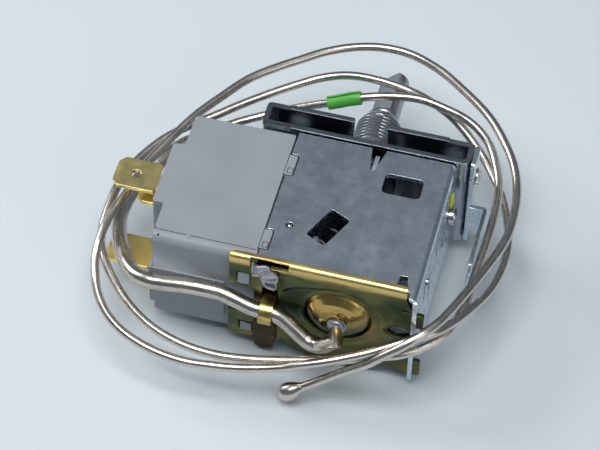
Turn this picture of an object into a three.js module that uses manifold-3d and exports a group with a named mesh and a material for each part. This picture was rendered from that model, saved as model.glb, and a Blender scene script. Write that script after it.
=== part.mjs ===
// Capillary-tube thermostat with switch housing, steel frame, control spindle and coiled sensing tube.
// Millimetres, +Z up. x runs from the terminal end to the frame's closed side, y from the sensing
// element towards the spindle, z up from the surface that the thermostat lies on.
import * as THREE from 'three';
import { mergeVertices } from 'three/addons/utils/BufferGeometryUtils.js';
import Module from 'manifold-3d';

const wasm = await Module();
wasm.setup();

// ---------------------------------------------------------------- driving dimensions
const ORIGIN = { x: 22.65, y: 24.2 };        // middle of the footprint, without the free tube
const GAP = 0.3;                             // between neighbours that don't touch
const FIT = 0.05;                            // running clearance on a radius

const BODY_TOP = 23.4;                       // outer top face of housing and frame
const BODY_BOTTOM = 3.4;
const BODY_BACK = 27.7;                      // rear face of the switch housing
const SEAM_X = 20;                           // where the housing meets the frame
const HOUSING_WALL = 1.5;
const COVER_T = 1.3;
const SEAM_Y = 1.9;                          // cover's front edge

const SHEET = 0.8;                           // frame and element plate thickness
const FRAME_RIGHT = 47.8;
const FRAME_BACK = 28.4;

const PLATE_FRONT = -1.0;                    // front face of the element plate
const PLATE_TOP = 24.2;
const DISH = { x: 34.4, z: 14.0, r: 5.75 };  // sensing element

const AXIS = { x: 31.65, z: 13.2 };          // spindle axis, along y
const WEB_Y = 28.6;                          // bracket's near web
const BRACKET_T = 1.0;
const BRACKET = { left: 13.3, right: 50.0, top: 23.8, webBottom: 2.6, faceY: 33.8 };
const HOLE_SPACING = 28;                     // fixing holes either side of the spindle
const M4_TAPPING_R = 1.65;

const TAB_W = 6.3;                           // standard blade terminal
const TAB_T = 0.8;
const TAB_HOLE_R = 0.85;

const PIVOT = { y: 6.4, z: 18.5, r: 0.7 };   // lever pivot pin, along x
const FINGER_Z = 9.2;                        // where the lever's finger meets the push rod
const CONTACT_X = 16.6;

const SPRING = { x: 38.5, y: 14.5, r: 2.3, wire: 0.45, bottom: 7.3, top: 21.4, turns: 8 };
const CAM = { base: 4.4, lift: 1.0, from: 22.0, to: 24.6 };
const CARRIER_Z = 5.7;

const STEM_R = 1.38;
const TUBE_R = 0.78;
const TIP_R = 1.7;

// Free end of the stem tube, from the element's collar to the joint with the thin tube.
const STEM_ROUTE = [
  [35.2, -5.8, 13.8], [34.4, -5.6, 12.4], [33.4, -5.4, 11.1], [32.2, -5.0, 10.1], [31.0, -4.7, 9.8],
  [29.8, -4.3, 10.0], [28.5, -3.9, 10.8], [27.2, -3.5, 11.6], [25.6, -3.0, 12.5], [24.0, -2.8, 13.1],
  [22.5, -2.8, 13.3], [20.4, -2.8, 13.5], [18.6, -2.6, 13.9], [16.8, -2.4, 14.4], [14.7, -2.1, 14.8],
  [12.5, -2.0, 14.8], [8.4, -2.0, 14.6], [4.2, -2.1, 14.1], [1.4, -2.0, 13.9], [-0.7, -1.1, 13.5],
  [-2.6, 0.8, 13.0], [-4.5, 3.9, 12.3], [-6.3, 7.7, 11.5], [-7.4, 11.3, 10.9], [-7.7, 14.4, 10.4],
  [-7.4, 18.0, 10.2], [-6.3, 21.5, 10.5], [-4.0, 25.8, 11.4], [-0.9, 30.3, 11.6], [1.7, 33.1, 11.7],
];

// Thin tube, from the stem's end round the body nearly three times to the sealed tip.
const TUBE_ROUTE = [
  [2.2, 33.6, 11.7], [6.5, 37.2, 11.9], [10.0, 39.3, 12.2], [13.5, 40.8, 13.0], [17.8, 42.0, 14.4],
  [21.9, 42.7, 15.8], [27.5, 43.9, 17.6], [32.0, 45.0, 18.1], [37.7, 45.5, 18.5], [42.8, 44.5, 18.4],
  [46.4, 44.0, 17.4], [49.2, 42.8, 16.4], [51.6, 40.4, 15.8], [53.6, 36.4, 15.2], [54.8, 32.6, 14.8],
  [55.3, 28.0, 14.6], [55.3, 20.5, 14.4], [54.9, 14.6, 14.2], [54.7, 10.7, 14.0], [54.3, 6.2, 13.6],
  [52.9, 1.3, 13.0], [50.3, -1.9, 12.6], [46.5, -4.6, 12.2], [42.2, -6.1, 11.9], [36.6, -8.0, 11.4],
  [31.1, -8.6, 10.2], [27.1, -9.2, 9.5], [21.8, -10.0, 9.0], [16.3, -10.4, 8.7], [10.6, -10.0, 8.8],
  [4.5, -8.2, 9.2], [-0.5, -5.2, 9.8], [-4.5, -1.4, 10.6], [-7.4, 2.4, 11.4], [-9.1, 6.7, 12.4],
  [-9.4, 11.4, 13.1], [-9.2, 16.0, 13.6], [-8.4, 20.0, 13.9], [-6.9, 23.6, 14.1], [-4.5, 27.8, 14.3],
  [-1.2, 31.7, 14.5], [2.9, 35.2, 14.8], [7.5, 39.3, 15.2], [14.4, 44.5, 15.9], [20.1, 47.6, 16.8],
  [24.7, 48.4, 17.7], [29.7, 48.2, 18.1], [34.7, 47.5, 18.0], [38.0, 47.4, 16.9], [41.1, 46.9, 15.8],
  [44.4, 45.4, 14.8], [46.9, 43.6, 14.0], [50.5, 40.3, 12.8], [52.8, 37.4, 12.2], [55.0, 34.1, 11.7],
  [57.1, 29.5, 11.3], [58.6, 23.9, 11.2], [58.8, 18.6, 11.4], [57.9, 12.7, 12.0], [55.9, 7.4, 13.0],
  [53.7, 2.8, 14.2], [51.1, -1.0, 15.2], [47.2, -3.7, 15.1], [41.4, -6.7, 13.7], [37.6, -8.3, 12.9],
  [33.7, -9.7, 12.1], [30.5, -10.5, 11.3], [27.6, -11.1, 10.4], [23.6, -11.8, 9.6], [19.6, -12.5, 9.2],
  [15.7, -13.0, 9.1], [11.6, -13.4, 9.2], [7.1, -13.2, 9.6], [3.0, -12.3, 10.1], [-0.6, -10.8, 10.6],
  [-3.7, -8.5, 11.2], [-6.0, -5.6, 12.0], [-7.4, -2.5, 12.9], [-8.2, 0.5, 13.7], [-8.4, 3.6, 14.6],
  [-8.1, 8.3, 15.3], [-6.8, 13.0, 15.8], [-5.9, 17.0, 16.1], [-4.9, 20.8, 16.4], [-2.9, 25.5, 16.8],
  [-1.4, 28.9, 17.0], [0.5, 32.8, 17.2], [3.7, 38.0, 17.3], [7.2, 43.1, 17.4], [11.0, 46.8, 17.4],
  [14.8, 49.9, 17.4], [18.8, 53.0, 17.4], [23.2, 55.3, 17.4], [27.9, 56.6, 17.4], [33.3, 56.5, 17.4],
  [39.2, 54.2, 17.4], [44.8, 50.4, 17.3], [50.3, 45.7, 17.2], [54.2, 40.6, 17.0], [56.8, 35.8, 16.8],
  [58.3, 30.6, 16.6], [58.8, 24.8, 16.5], [58.4, 19.6, 16.5], [56.2, 12.1, 16.7], [54.6, 7.4, 17.0],
  [52.8, 2.6, 17.3], [51.1, -1.0, 17.4], [48.9, -3.9, 17.2], [46.3, -6.0, 15.9], [43.6, -7.1, 13.9],
  [41.6, -7.7, 12.1], [37.8, -8.5, 9.5], [34.7, -9.1, 7.1], [31.3, -9.9, 4.7], [28.9, -10.4, 3.1],
];
const TIP = [27.1, -10.8, 1.9];

// ---------------------------------------------------------------- solids and booleans
function signedVolume(positions, triangles) {
  let total = 0;
  const [a, b, c] = [new THREE.Vector3(), new THREE.Vector3(), new THREE.Vector3()];
  for (let i = 0; i < triangles.length; i += 3) {
    a.fromArray(positions, triangles[i] * 3);
    b.fromArray(positions, triangles[i + 1] * 3);
    c.fromArray(positions, triangles[i + 2] * 3);
    total += a.dot(b.cross(c)) / 6;
  }
  return total;
}

// A closed three.js geometry as a manifold solid, with its faces turned outwards.
function solid(geometry) {
  geometry.deleteAttribute('normal');
  geometry.deleteAttribute('uv');
  const merged = mergeVertices(geometry, 1e-4);
  const positions = merged.attributes.position.array;
  const triangles = [];
  for (let i = 0; i < merged.index.count; i += 3) {
    const [a, b, c] = [0, 1, 2].map((k) => merged.index.getX(i + k));
    if (a !== b && b !== c && c !== a) triangles.push(a, b, c);
  }
  if (signedVolume(positions, triangles) < 0) triangles.reverse();
  return new wasm.Manifold(new wasm.Mesh({
    numProp: 3,
    vertProperties: positions,
    triVerts: Uint32Array.from(triangles),
  }));
}

function join(first, ...others) {
  return others.reduce((whole, other) => whole.add(other), first);
}

function cut(first, ...others) {
  return others.reduce((rest, other) => rest.subtract(other), first);
}

function geometryOf(body) {
  const mesh = body.getMesh();
  const geometry = new THREE.BufferGeometry();
  geometry.setAttribute('position', new THREE.BufferAttribute(mesh.vertProperties, 3));
  geometry.setIndex(new THREE.BufferAttribute(mesh.triVerts, 1));
  return geometry;
}

// ---------------------------------------------------------------- shape helpers
function box([x0, x1], [y0, y1], [z0, z1]) {
  const geometry = new THREE.BoxGeometry(x1 - x0, y1 - y0, z1 - z0);
  geometry.translate((x0 + x1) / 2, (y0 + y1) / 2, (z0 + z1) / 2);
  return solid(geometry);
}

function outline(points) {
  return new THREE.Shape(points.map(([u, v]) => new THREE.Vector2(u, v)));
}

function roundedRect([u0, u1], [v0, v1], r) {
  const shape = new THREE.Shape();
  shape.moveTo(u0 + r, v0);
  shape.lineTo(u1 - r, v0);
  shape.absarc(u1 - r, v0 + r, r, -Math.PI / 2, 0);
  shape.lineTo(u1, v1 - r);
  shape.absarc(u1 - r, v1 - r, r, 0, Math.PI / 2);
  shape.lineTo(u0 + r, v1);
  shape.absarc(u0 + r, v1 - r, r, Math.PI / 2, Math.PI);
  shape.lineTo(u0, v0 + r);
  shape.absarc(u0 + r, v0 + r, r, Math.PI, 1.5 * Math.PI);
  return shape;
}

function extruded(shape, depth) {
  return new THREE.ExtrudeGeometry(shape, { depth, bevelEnabled: false, curveSegments: 6 });
}

// A flat outline as a plate: (x, y) outlines stand along z, (x, z) along y and (y, z) along x.
function plateZ(shape, [z0, z1]) {
  const geometry = extruded(shape, z1 - z0);
  geometry.translate(0, 0, z0);
  return solid(geometry);
}

function plateY(shape, [y0, y1]) {
  const geometry = extruded(shape, y1 - y0);
  geometry.rotateX(Math.PI / 2);
  geometry.translate(0, y1, 0);
  return solid(geometry);
}

function plateX(shape, [x0, x1]) {
  const geometry = extruded(shape, x1 - x0);
  geometry.applyMatrix4(new THREE.Matrix4().set(0, 0, 1, 0, 1, 0, 0, 0, 0, 1, 0, 0, 0, 0, 0, 1));
  geometry.translate(x0, 0, 0);
  return solid(geometry);
}

function rodX(y, z, r, [x0, x1], sides = 20) {
  const geometry = new THREE.CylinderGeometry(r, r, x1 - x0, sides);
  geometry.rotateZ(Math.PI / 2);
  geometry.translate((x0 + x1) / 2, y, z);
  return solid(geometry);
}

function rodY(x, z, r, [y0, y1], sides = 20) {
  const geometry = new THREE.CylinderGeometry(r, r, y1 - y0, sides);
  geometry.translate(x, (y0 + y1) / 2, z);
  return solid(geometry);
}

function rodZ(x, y, r, [z0, z1], sides = 20) {
  const geometry = new THREE.CylinderGeometry(r, r, z1 - z0, sides);
  geometry.rotateX(Math.PI / 2);
  geometry.translate(x, y, (z0 + z1) / 2);
  return solid(geometry);
}

// A closed [radius, y] profile turned about a line along y.
function turnedY(profile, x, z, sides = 32) {
  const points = [...profile, profile[0]].map(([r, y]) => new THREE.Vector2(r, y));
  const geometry = new THREE.LatheGeometry(points, sides);
  geometry.translate(x, 0, z);
  return solid(geometry);
}

function circlePoints(r, sides) {
  return Array.from({ length: sides }, (_, i) => {
    const angle = (2 * Math.PI * i) / sides;
    return new THREE.Vector2(r * Math.cos(angle), r * Math.sin(angle));
  });
}

function pathThrough(points) {
  return new THREE.CatmullRomCurve3(points.map((p) => new THREE.Vector3(...p)), false, 'centripetal');
}

// A round tube of outer radius r along a curve, hollow when a bore is given.
function tubeAlong(path, r, sides, steps, bore = 0) {
  const section = new THREE.Shape(circlePoints(r, sides));
  if (bore > 0) section.holes.push(new THREE.Path(circlePoints(bore, sides)));
  return solid(new THREE.ExtrudeGeometry(section, { steps, bevelEnabled: false, extrudePath: path }));
}

// ---------------------------------------------------------------- materials and the scene graph
const FINISH = {
  greyPlastic: { color: 0x949ba2, roughness: 0.55, metalness: 0 },
  darkPlastic: { color: 0x3a3d40, roughness: 0.6, metalness: 0 },
  zincSteel: { color: 0x8b98a0, roughness: 0.32, metalness: 1 },
  brightSteel: { color: 0xc8c6c2, roughness: 0.25, metalness: 1 },
  yellowZinc: { color: 0xb09a55, roughness: 0.3, metalness: 1 },
  brass: { color: 0xa98a4a, roughness: 0.35, metalness: 1 },
  silver: { color: 0xd2d2d0, roughness: 0.3, metalness: 1 },
  springSteel: { color: 0x9a9a98, roughness: 0.3, metalness: 1 },
  card: { color: 0x8f7b5a, roughness: 0.8, metalness: 0 },
  greenSleeve: { color: 0x3f9b3a, roughness: 0.5, metalness: 0 },
  lacquer: { color: 0xb3b726, roughness: 0.35, metalness: 0 },
};

const thermostat = new THREE.Group();
thermostat.position.set(-ORIGIN.x, -ORIGIN.y, 0);

function add(name, body, finish) {
  const mesh = new THREE.Mesh(geometryOf(body), new THREE.MeshStandardMaterial(FINISH[finish]));
  mesh.name = name;
  thermostat.add(mesh);
}

// ---------------------------------------------------------------- switch housing
const COVER_Z = BODY_TOP - COVER_T;
const LEFT_STEP_Y = [7.4, 20.5];             // the housing's left end stands out between these

function housingOutline() {
  const [near, far] = LEFT_STEP_Y;
  return outline([
    [2, 0], [SEAM_X, 0], [SEAM_X, BODY_BACK], [2, BODY_BACK - GAP], [2, far + 0.2], [0, far], [0, near],
    [2, near],
  ]);
}

// The front wall rises past the cover to the top face, with a rounded edge.
function frontWall() {
  const r = 1.5;
  const profile = new THREE.Shape();
  profile.moveTo(0, COVER_Z - 1);
  profile.lineTo(0, BODY_TOP - r);
  profile.absarc(r, BODY_TOP - r, r, Math.PI, Math.PI / 2, true);
  profile.lineTo(SEAM_Y - FIT, BODY_TOP);
  profile.lineTo(SEAM_Y - FIT, COVER_Z - 1);
  return plateX(profile, [2, SEAM_X]);
}

function terminalSlot([y0, y1], [z0, z1]) {
  return box([-1, 6], [y0 - FIT, y1 + FIT], [z0 - FIT, z1 + FIT]);
}

const T1_Y = [11.6, 11.6 + TAB_W];
const T1_Z = [19.5, 19.5 + TAB_T];
const T2_Y = [11.4, 11.4 + TAB_W];
const T2_Z = [16.6, 16.6 + TAB_T];
const T3_Y = [5.3, 5.3 + TAB_W];
const T3_Z = [6.6, 6.6 + TAB_T];
const LATCHES = [{ x: [17.2, 19.2], z: [17.8, 20.0] }, { x: [17.6, 19.6], z: [4.9, 6.6] }];
const FINGER_WINDOW = { y: [2.6, 8.2], z: [7.2, 11.2] };

function switchHousing() {
  const shell = plateZ(housingOutline(), [BODY_BOTTOM, COVER_Z - FIT]);
  const band = join(
    box([1.4, 14.6], [-0.25, 0.4], [6, 15.3]),
    box([1.4, 2.4], [-0.25, 7.2], [6, 15.3]),
  );
  const cavity = box([3.4, SEAM_X - HOUSING_WALL], [2.2, 26], [4.9, 30]);
  const rodGuide = box([14.8, SEAM_X - 1], [7.6, 9.6], [4.5, 12]);
  const latches = LATCHES.map(({ x, z }) => box(x, [-1.5, 0.2], z));
  const slots = [terminalSlot(T1_Y, T1_Z), terminalSlot(T2_Y, T2_Z), terminalSlot(T3_Y, T3_Z)];
  const window = box([SEAM_X - 2.5, SEAM_X + 1], FINGER_WINDOW.y, FINGER_WINDOW.z);
  const rodBore = rodY(CONTACT_X, FINGER_Z, 1 + FIT, [7, 10]);
  const hollow = join(cut(shell, cavity), frontWall(), band, rodGuide, ...latches);
  add('switch_housing', cut(hollow, ...slots, window, rodBore), 'greyPlastic');
}

function housingCover() {
  const edge = SEAM_X - 0.2;
  const [near, far] = LEFT_STEP_Y;
  const tongue = SEAM_X + 1.3;
  const top = plateZ(outline([
    [2.6, SEAM_Y], [edge, SEAM_Y], [edge, 2.4], [tongue, 2.4], [tongue, 6.5], [edge, 6.5], [edge, 18.8],
    [tongue, 18.8], [tongue, 23.2], [edge, 23.2], [edge, BODY_BACK], [2, BODY_BACK - GAP],
    [2, far + 0.2], [0, far], [0, near], [2, near],
  ]), [COVER_Z, BODY_TOP]);
  const rim = cut(
    box([3.7, 18.2], [2.5, 25.7], [COVER_Z - 1, COVER_Z + 0.2]),
    box([4.7, 17.2], [3.5, 24.7], [COVER_Z - 2, COVER_Z]),
  );
  add('housing_cover', join(top, rim), 'greyPlastic');
}

// ---------------------------------------------------------------- terminals and contacts
// A blade standing out to the left, its two outer corners chamfered, with the locking hole.
function blade([x0, x1], [y0, y1], z, holeFromTip = 2.9) {
  const c = 1.1;
  const shape = outline([
    [x0, y0 + c], [x0 + c, y0], [x1, y0], [x1, y1], [x0 + c, y1], [x0, y1 - c],
  ]);
  return cut(plateZ(shape, z), rodZ(x0 + holeFromTip, (y0 + y1) / 2, TAB_HOLE_R, [z[0] - 1, z[1] + 1]));
}

function terminals() {
  const neck1 = box([-1.3, 18], [12.6, 15.4], T1_Z);
  const drop1 = box([14.8, 18], [14.6, 15.4], [7.8, T1_Z[1]]);
  add('terminal_1', join(blade([-8.7, -1.2], T1_Y, T1_Z, 3.7), neck1, drop1), 'brass');

  // The middle terminal is cut short, so the thin tube can pass its end.
  const short2 = outline([
    [-3.6, T2_Y[0]], [-0.7, T2_Y[0]], [-0.7, T2_Y[1]], [-3.6, T2_Y[1]],
    [-4.3, T2_Y[1] - 0.7], [-4.3, T2_Y[0] + 0.7],
  ]);
  const tail2 = box([-0.8, 9], [T2_Y[0] + 0.3, T2_Y[1] - 0.3], [T2_Z[0] + FIT, T2_Z[1] - FIT]);
  add('terminal_2', join(plateZ(short2, T2_Z), tail2), 'brass');

  const neck3 = box([-0.8, 5.3], [T3_Y[0] + 0.5, T3_Y[1] - 0.5], T3_Z);
  const post3 = box([3.9, 5.3], [10.2, 11.8], [T3_Z[0], 11.5]);
  add('terminal_3', join(blade([-8.5, -0.7], T3_Y, T3_Z), neck3, post3), 'brass');
}

const ARM_Y = [12.0, 12.4];

function contacts() {
  add('fixed_contact', rodY(CONTACT_X, FINGER_Z, 1.3, [14.05, 14.6 - FIT]), 'silver');
  add('moving_contact', rodY(CONTACT_X, FINGER_Z, 1.2, [ARM_Y[1] + FIT, 13.2]), 'silver');
  const arm = box([4.2, 18.1], ARM_Y, [FINGER_Z - 1.5, FINGER_Z + 1.5]);
  const slot = box([7.5, 13.5], [11, 13], [FINGER_Z - 0.6, FINGER_Z + 0.6]);
  add('contact_arm', cut(arm, slot), 'springSteel');
  const ring = new THREE.Shape();
  ring.absarc(10.5, 12.35, 2.2, 0.1, Math.PI - 0.1);
  ring.absarc(10.5, 12.35, 1.95, Math.PI - 0.1, 0.1, true);
  add('toggle_spring', plateZ(ring, [FINGER_Z - 0.9, FINGER_Z + 0.9]), 'springSteel');
  add('push_rod', rodY(CONTACT_X, FINGER_Z, 1, [5.2, 11.9]), 'darkPlastic');
  const sheet = box([20.3, 20.7], [0.6, 27.4], [4.5, COVER_Z - GAP]);
  add('insulation_card', cut(sheet, box([19, 22], FINGER_WINDOW.y, FINGER_WINDOW.z)), 'card');
}

// ---------------------------------------------------------------- steel frame
const SLANT = { x: 29.9, y: 9.55, width: 3.9, length: 6.9, angle: -0.44 };
const TONGUE_SLOTS = [[14.8, 18.9], [1.6, 6.2]];
const SIDE_SLOTS = [
  { y: [26.6, 27.7], z: [20.4, 21.8] }, { y: [18.6, 20.4], z: [10.4, 13.4] },
  { y: [13.2, 14.4], z: [15.5, 19.5] },
  { y: [8.2, 9.2], z: [11.0, 16.0] }, { y: [4.0, 5.0], z: [15.5, 20.5] },
];
const SCREW = { y: 24.4, z: 14.4 };          // differential screw, along x

function steelFrame() {
  const under = BODY_TOP - SHEET;
  const left = SEAM_X + 0.1;
  const topShape = outline([
    [left, -0.1], [46.2, -0.1], [46.2, -1.5], [FRAME_RIGHT, -1.5],
    [FRAME_RIGHT, FRAME_BACK], [left, FRAME_BACK],
    [left, 23.4], [left + 1.5, 23.4], [left + 1.5, 18.6], [left, 18.6], [left, 6.7], [left + 1.5, 6.7],
    [left + 1.5, 2.2], [left, 2.2],
  ]);
  const slant = new THREE.ExtrudeGeometry(
    roundedRect([-SLANT.width / 2, SLANT.width / 2], [-SLANT.length / 2, SLANT.length / 2], 0.5),
    { depth: 4, bevelEnabled: false, curveSegments: 4 },
  );
  slant.rotateZ(SLANT.angle);
  slant.translate(SLANT.x, SLANT.y, under - 2);
  const through = [under - 1, BODY_TOP + 1];
  const top = cut(
    plateZ(topShape, [under, BODY_TOP]),
    solid(slant),
    plateZ(roundedRect([36.8, 43.1], [19.3, 23.3], 0.9), through),
    plateZ(outline([[33.2, FRAME_BACK + 1], [35.5, FRAME_BACK + 1], [34.5, 24.0], [34.1, 24.0]]), through),
    plateZ(outline([[43.6, 0.7], [45.7, 0.7], [45.1, 2.9], [43.9, 2.8]]), through),
    rodZ(23.6, 8.3, 0.6, through, 12),
  );
  const vTab = box([33.9, 34.7], [23.4, 24.1], [19, under + 0.2]);
  const hanger = cut(
    box([28.0, 28.8], [4.9, 7.9], [16.9, under + 0.2]),
    rodX(PIVOT.y, PIVOT.z, PIVOT.r + FIT, [27, 30], 16),
  );
  const sideShape = outline([
    [-1.7, 0.9], [1.6, 0.9], [1.6, BODY_BOTTOM], [FRAME_BACK, BODY_BOTTOM], [FRAME_BACK, BODY_TOP],
    [-1.7, BODY_TOP],
  ]);
  const side = cut(
    plateX(sideShape, [FRAME_RIGHT - SHEET, FRAME_RIGHT]),
    ...TONGUE_SLOTS.map((z) => box([45, 50], [-1.25, 0.05], z)),
    ...SIDE_SLOTS.map(({ y, z }) => box([45, 50], y, z)),
    rodX(SCREW.y, SCREW.z, 1 + FIT, [45, 50], 16),
    rodX(PIVOT.y, PIVOT.z, PIVOT.r + FIT, [45, 50], 16),
  );
  const bottom = cut(
    box([left, FRAME_RIGHT], [0.2, FRAME_BACK], [BODY_BOTTOM, BODY_BOTTOM + SHEET]),
    rodZ(SPRING.x, SPRING.y, 2.4, [1, 6]),
    plateZ(roundedRect([23, 33], [8, 18], 1.5), [1, 6]),
  );
  add('steel_frame', join(top, side, bottom, vTab, hanger), 'zincSteel');
  add('locating_pin', rodZ(23.6, 8.3, 0.45, [21.2, 23.3], 12), 'brightSteel');
}

// ---------------------------------------------------------------- element plate and stem clip
const CLIP = { x: [21.6, 23.9], y: -2.8, z: 13.3, inner: 1.75, outer: 2.3 };

function elementPlate() {
  const face = new THREE.Shape();
  face.moveTo(16.7, PLATE_TOP);
  face.absarc(16.7, PLATE_TOP - 1, 1, Math.PI / 2, Math.PI);
  face.lineTo(15.7, 17.4);
  face.absarc(16.5, 17.4, 0.8, Math.PI, 1.5 * Math.PI);
  face.lineTo(19.9, 16.6);
  face.lineTo(19.9, 9.4);
  face.lineTo(15.4, 9.4);
  face.lineTo(15.4, 3.6);
  face.lineTo(16.2, 2.9);
  face.lineTo(22.2, 2.9);
  face.lineTo(25.0, 3.7);
  face.absarc(34.3, 13.9, 13.88, -2.31, -0.88);
  face.lineTo(44.6, 2.6);
  face.lineTo(46.9, 2.0);
  face.lineTo(48.9, 2.0);
  face.lineTo(48.9, 5.8);
  face.lineTo(46.9, 5.8);
  face.lineTo(46.9, 15.1);
  face.lineTo(48.9, 15.1);
  face.lineTo(48.9, 18.5);
  face.lineTo(46.9, 18.5);
  face.lineTo(46.9, 19.6);
  face.lineTo(45.9, 22.0);
  face.lineTo(45.9, PLATE_TOP);
  const depth = [PLATE_FRONT, PLATE_FRONT + SHEET];
  const through = [PLATE_FRONT - 1, PLATE_FRONT + 2];
  const flange = box([16.2, 45.9], [PLATE_FRONT + 0.4, 0.4], [BODY_TOP + FIT, PLATE_TOP]);
  const windows = LATCHES.map(({ x, z }) => (
    box([x[0] - 0.2, x[1] + 0.2], through, [z[0] - 0.2, z[1] + 0.2])
  ));
  const lugHole = new THREE.Shape();
  lugHole.absellipse(45.2, 13.2, 1.6, 1.1, 0, 2 * Math.PI);
  add('element_plate', cut(
    join(plateY(face, depth), flange),
    ...windows,
    box([21.4, 24.1], through, [13.4, 17.4]),
    box([19.2, 25.9], [PLATE_FRONT - 1, PLATE_FRONT + SHEET + FIT], [22.8, 30]),
    plateY(lugHole, through),
    box([45.2, 46.6], through, [18.9, 19.2]),
    rodY(DISH.x, DISH.z, DISH.r + FIT, through, 40),
  ), 'yellowZinc');
}

function stemClip() {
  const { y, z, inner, outer } = CLIP;
  const strap = new THREE.Shape();
  strap.moveTo(PLATE_FRONT + 0.3, z + outer);
  strap.lineTo(y, z + outer);
  strap.absarc(y, z, outer, Math.PI / 2, 1.5 * Math.PI);
  strap.lineTo(PLATE_FRONT - 0.6, z - outer);
  strap.lineTo(PLATE_FRONT - 0.6, 9.5);
  strap.lineTo(PLATE_FRONT - FIT, 9.5);
  strap.lineTo(PLATE_FRONT - FIT, z - inner);
  strap.lineTo(y, z - inner);
  strap.absarc(y, z, inner, 1.5 * Math.PI, Math.PI / 2, true);
  strap.lineTo(PLATE_FRONT + 0.3, z + inner);
  const lobe = new THREE.Shape();
  lobe.moveTo(19.8, 3.0);
  lobe.absarc(21.85, 3.0, 2.05, Math.PI, 2 * Math.PI);
  lobe.lineTo(23.9, 10.0);
  lobe.lineTo(20.6, 10.0);
  lobe.lineTo(19.8, 7.5);
  const tongue = plateY(lobe, [PLATE_FRONT - 0.6, PLATE_FRONT - FIT]);
  add('stem_clip', join(plateX(strap, CLIP.x), tongue), 'yellowZinc');
  const tab = outline([[19.4, 23.4], [24.0, 23.2], [24.4, 19.4], [23.2, 18.1], [21.6, 19.5], [19.6, 20.7]]);
  add('locking_tab', plateY(tab, [PLATE_FRONT - 0.75, PLATE_FRONT - 0.1]), 'brightSteel');
}

// ---------------------------------------------------------------- sensing element
function sensingElement() {
  const { x, z, r } = DISH;
  add('element_dome', turnedY([
    [0.8, -2.8], [2.1, -2.8], [3.3, -2.5], [4.5, -1.9], [5.3, -1.3], [r, -0.7], [r, 0.4], [r - 0.5, 0.4],
    [r - 0.5, -0.5], [4.9, -0.85], [4.0, -1.5], [3.0, -1.95], [2.0, -2.25], [0.8, -2.25],
  ], x, z, 40), 'yellowZinc');
  add('element_base', turnedY([
    [1.7, 1.6], [5.6, 1.6], [5.6, 0.45], [6.6, 0.45], [6.6, 2.2], [1.7, 2.2],
  ], x, z, 32), 'zincSteel');
  add('diaphragm', rodY(x, z, 5.1, [0.0, 0.25], 32), 'springSteel');
  add('diaphragm_button', join(
    rodY(x, z, 2.6, [0.35, 0.9], 24),
    rodY(x, z, 1.0, [0.8, 4.0], 20),
  ), 'brightSteel');
  add('stem_collar', turnedY([
    [0.8, -2.85], [1.9, -2.85], [1.9, -3.4], [1.6, -3.9], [0.8, -3.9],
  ], x + 0.3, z - 0.1, 24), 'brightSteel');
}

function sensingTube() {
  const [fold] = STEM_ROUTE;
  const knuckle = new THREE.SphereGeometry(STEM_R, 12, 8);
  knuckle.translate(...fold);
  const neck = rodY(fold[0] - 0.3, fold[2], 1.05, [fold[1], -4.2], 16);
  const run = tubeAlong(pathThrough(STEM_ROUTE), STEM_R, 8, 38);
  add('capillary_stem', join(run, solid(knuckle), neck), 'silver');
  add('capillary_tube', tubeAlong(pathThrough(TUBE_ROUTE), TUBE_R, 8, 80), 'silver');
  const tip = new THREE.SphereGeometry(TIP_R, 14, 10);
  tip.translate(...TIP);
  add('capillary_tip', solid(tip), 'silver');
  const sleevePath = pathThrough(TUBE_ROUTE.slice(4, 8));
  const stretch = new THREE.CatmullRomCurve3(
    [0.385, 0.46, 0.54, 0.61, 0.685].map((t) => sleevePath.getPointAt(t)),
    false,
    'centripetal',
  );
  add('marker_sleeve', tubeAlong(stretch, 1.3, 10, 4, 0.98), 'greenSleeve');
}

// ---------------------------------------------------------------- lever, spring and carrier
function leverTrain() {
  const [armFront, armBack] = [4.1, 5.1];
  const upright = box([30, 40.5], [armFront, armBack], [8.0, 20.6]);
  const finger = box([15.4, 30.2], [armFront, armBack], [FINGER_Z - 1.2, FINGER_Z + 1.2]);
  const reach = box([33, 42], [armFront, 17], [19.8, 20.6]);
  const barrel = rodX(PIVOT.y, PIVOT.z, 1.45, [30, 42], 20);
  const bore = rodX(PIVOT.y, PIVOT.z, PIVOT.r + FIT, [29, 43], 16);
  const anchor = rodZ(SPRING.x, SPRING.y, 0.95, [19, 22], 14);
  add('main_lever', cut(join(upright, finger, reach, barrel), bore, anchor), 'zincSteel');
  add('lever_pivot_pin', rodX(PIVOT.y, PIVOT.z, PIVOT.r, [27.6, FRAME_RIGHT + 0.3], 16), 'brightSteel');
}

// The wire starts on the axis, winds out to the coil and back, so both ends hang on the centre line.
class SpringPath extends THREE.Curve {
  getPoint(t, target = new THREE.Vector3()) {
    const [straight, wound] = [0.06, 0.13];
    const fromEnd = Math.min(t, 1 - t);
    const r = SPRING.r * THREE.MathUtils.smoothstep(fromEnd, straight, wound);
    const angle = 2 * Math.PI * SPRING.turns * t;
    const coil = [SPRING.bottom + 1.2, SPRING.top - 2.4];
    let z = THREE.MathUtils.mapLinear(t, straight, 1 - straight, ...coil);
    if (t < straight) z = THREE.MathUtils.lerp(SPRING.bottom, coil[0], t / straight);
    if (t > 1 - straight) z = THREE.MathUtils.lerp(SPRING.top, coil[1], (1 - t) / straight);
    return target.set(SPRING.x + r * Math.cos(angle), SPRING.y + r * Math.sin(angle), z);
  }
}

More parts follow.
